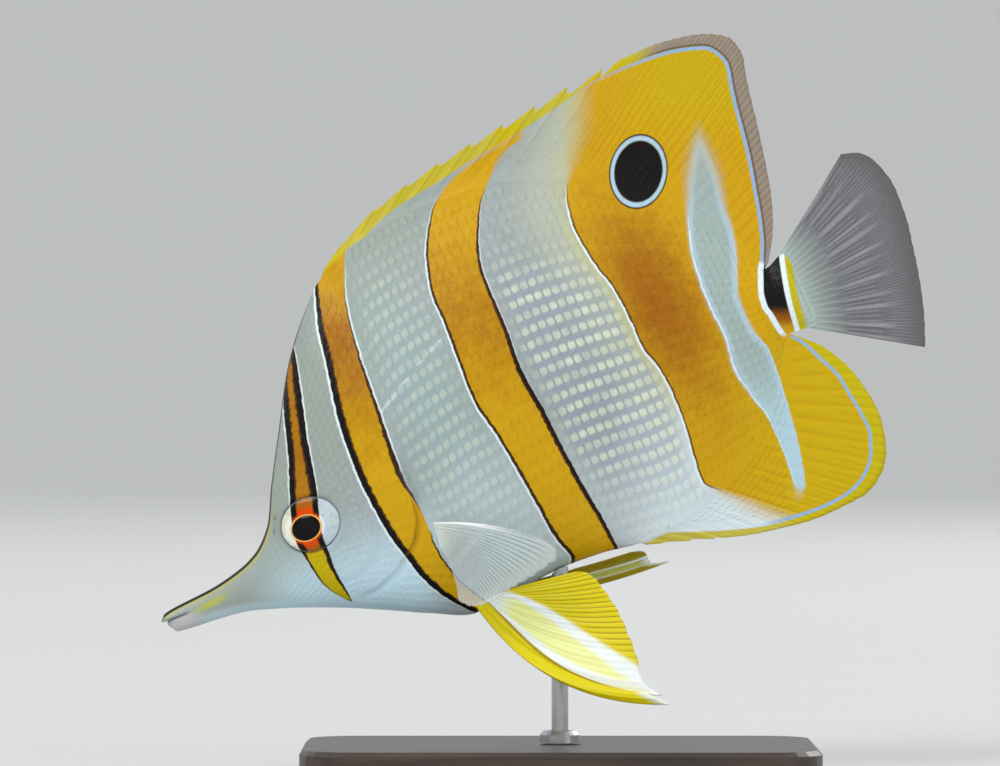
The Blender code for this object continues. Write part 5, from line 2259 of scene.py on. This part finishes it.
@dataclass
class Studio:
    """A pale bowl for a floor, soft lamps, and the camera at the photograph's angle.

    The bowl is in metres. The view's middle and its width at the fish are in millimetres.
    """

    floor_radius: float = 3.2
    curl_radius: float = 1.8
    curl_end: float = math.radians(86)
    floor_rings: int = 12
    curl_rings: int = 24
    sides: int = 96
    centre: tuple[float, float] = (-10.7, 70.46)
    view_width: float = 178.57
    distance: float = 1.2
    sensor: float = 36.0
    paper: Colour = srgb(210, 210, 208)
    paper_shade: Colour = srgb(202, 203, 204)
    sky: Colour = (0.95, 0.975, 1.0)
    sky_strength: float = 0.85
    lamps: tuple[Lamp, ...] = (
        Lamp("key", (-1.1, -1.7, 1.7), 1.1, 26.0, (1.0, 0.98, 0.95)),
        Lamp("fill", (1.7, -1.9, 0.8), 1.4, 7.0, (0.94, 0.97, 1.0)),
        Lamp("rim", (1.1, 1.6, 1.3), 1.0, 12.0),
    )

    def floor(self) -> Object:
        """A round floor that curls up into a wall: past the floor's radius it rises by the curl's radius
        times 1 - cos a, for an angle a along the curl.

        Returns:
            The floor.
        """
        turn = np.arange(self.sides) * 2 * math.pi / self.sides
        curl = np.linspace(0, self.curl_end, self.curl_rings)[1:]
        flat = np.linspace(0.05, self.floor_radius, self.floor_rings)
        r = np.append(flat, self.floor_radius + self.curl_radius * np.sin(curl))[:, None]
        h = np.append(0 * flat, self.curl_radius * (1 - np.cos(curl)))[:, None]
        points = np.stack([r * np.cos(turn), r * np.sin(turn), h + 0 * turn], -1)
        w = Wiring("paper")
        w.set(Base_Color=w.mix(w.noise(60, 2.0) * 0.25, self.paper, self.paper_shade), Roughness=0.85)
        mesh = bpy.data.meshes.new("floor")
        index = np.arange(r.size * self.sides).reshape(r.size, self.sides)
        loop = np.append(index, index[:, :1], 1)
        quads = np.stack([loop[:-1, :-1], loop[1:, :-1], loop[1:, 1:], loop[:-1, 1:]], -1).reshape(-1, 4)
        mesh.from_pydata(points.reshape(-1, 3).tolist(), [], [*quads.tolist(), index[0].tolist()])
        mesh.shade_smooth()
        mesh.materials.append(w.material)
        made = add_object("floor", mesh)
        made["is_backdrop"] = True
        return made

    def light(self) -> None:
        """A pale sky, a key lamp above and to the left of the camera, a weak fill and a rim lamp behind. The
        view shows colours as they are."""
        for lamp in self.lamps:
            lamp.hang(Vector((0.0, 0.0, self.centre[1] * MM)))
        world = bpy.data.worlds.new("sky")
        world.use_nodes = True
        background = world.node_tree.nodes["Background"]
        background.inputs["Color"].default_value = (*self.sky, 1)
        background.inputs["Strength"].default_value = self.sky_strength
        bpy.context.scene.world = world
        bpy.context.scene.view_settings.view_transform = "Standard"

    def camera(self) -> None:
        """A level camera square to the fish, with the lens that gives the photograph's width at the fish."""
        data = bpy.data.cameras.new("camera")
        data.sensor_width = self.sensor
        data.lens = self.sensor * self.distance / (self.view_width * MM)
        data.clip_start, data.clip_end = 0.05, 30
        made = add_object("camera", data)
        made.location = (self.centre[0] * MM, -self.distance, self.centre[1] * MM)
        made.rotation_euler = (math.pi / 2, 0, 0)
        bpy.context.scene.camera = made


def corners() -> dict[str, list[float]]:
    """The shown object's lowest and highest corner, as plain numbers."""
    low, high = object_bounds()
    return {"low": [float(v) for v in low], "high": [float(v) for v in high]}


def main() -> None:
    """Builds every piece in order."""
    logging.basicConfig(level=logging.INFO, format="%(message)s")
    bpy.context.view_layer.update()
    paint = FishPaint()
    tail = FinPaint(
        "tail_membrane", membrane=srgb(96, 100, 108), ray=srgb(158, 156, 160), edge=srgb(90, 80, 80),
        clear=0.34, root=srgb(178, 196, 188), streak=0.6, patchy=0.9, finest=1.0,
    )
    pectoral = FinPaint(
        "pectoral_membrane", membrane=srgb(234, 246, 246), ray=srgb(136, 152, 160),
        edge=srgb(226, 234, 232), clear=0.76, root=srgb(220, 230, 222), streak=0.8, lead=1.0,
    )
    made = [Skin().build(paint.material("fish_skin", False))]
    coat, plates = ScaleCoat(), paint.material("fish_scales", True)
    eye, clear_tail, clear_fin = EyePaint().material(), tail.material(), pectoral.material()
    pelvic = {
        Side.LEFT: PelvicPaint("pelvic_left_fin").material(),
        # The far pelvic fin: the near one's colours made darker as painted shade, with a pale middle of
        # another shape and fainter streaks.
        Side.RIGHT: PelvicPaint(
            "pelvic_right_fin_painted_shade", yellow=srgb(176, 158, 14), orange=srgb(140, 120, 10),
            middle=srgb(200, 206, 104), foot=0.62, tip=0.4, streak=0.5,
        ).material(),
    }
    for side in Side:
        word = side.word
        made.append(coat.build_flesh(side, plates))
        made.append(coat.build_fins(side, plates))
        made.append(Eyes().build(side, eye))
        fin = PectoralFin(side=side)
        made.append(fin.build(f"pectoral_{word}", clear_fin, "clear_fin", f"pectoral_fin_{word}"))
        made.append(PelvicFin(side=side).build(f"pelvic_{word}", pelvic[side], "fin", f"pelvic_fin_{word}"))
    made.append(TailFin(side=Side.LEFT).build("tail", clear_tail, "clear_fin", "tail_fin"))
    for piece in made:
        triangles = sum(len(p.vertices) - 2 for p in piece.data.polygons)
        log.info("%s: %d triangles", piece.name, triangles)
    Stand().dress()
    log.info("stand: finished")
    studio = Studio()
    studio.floor()
    studio.light()
    studio.camera()
    log.info("studio: set")


if __name__ == "__main__":
    main()
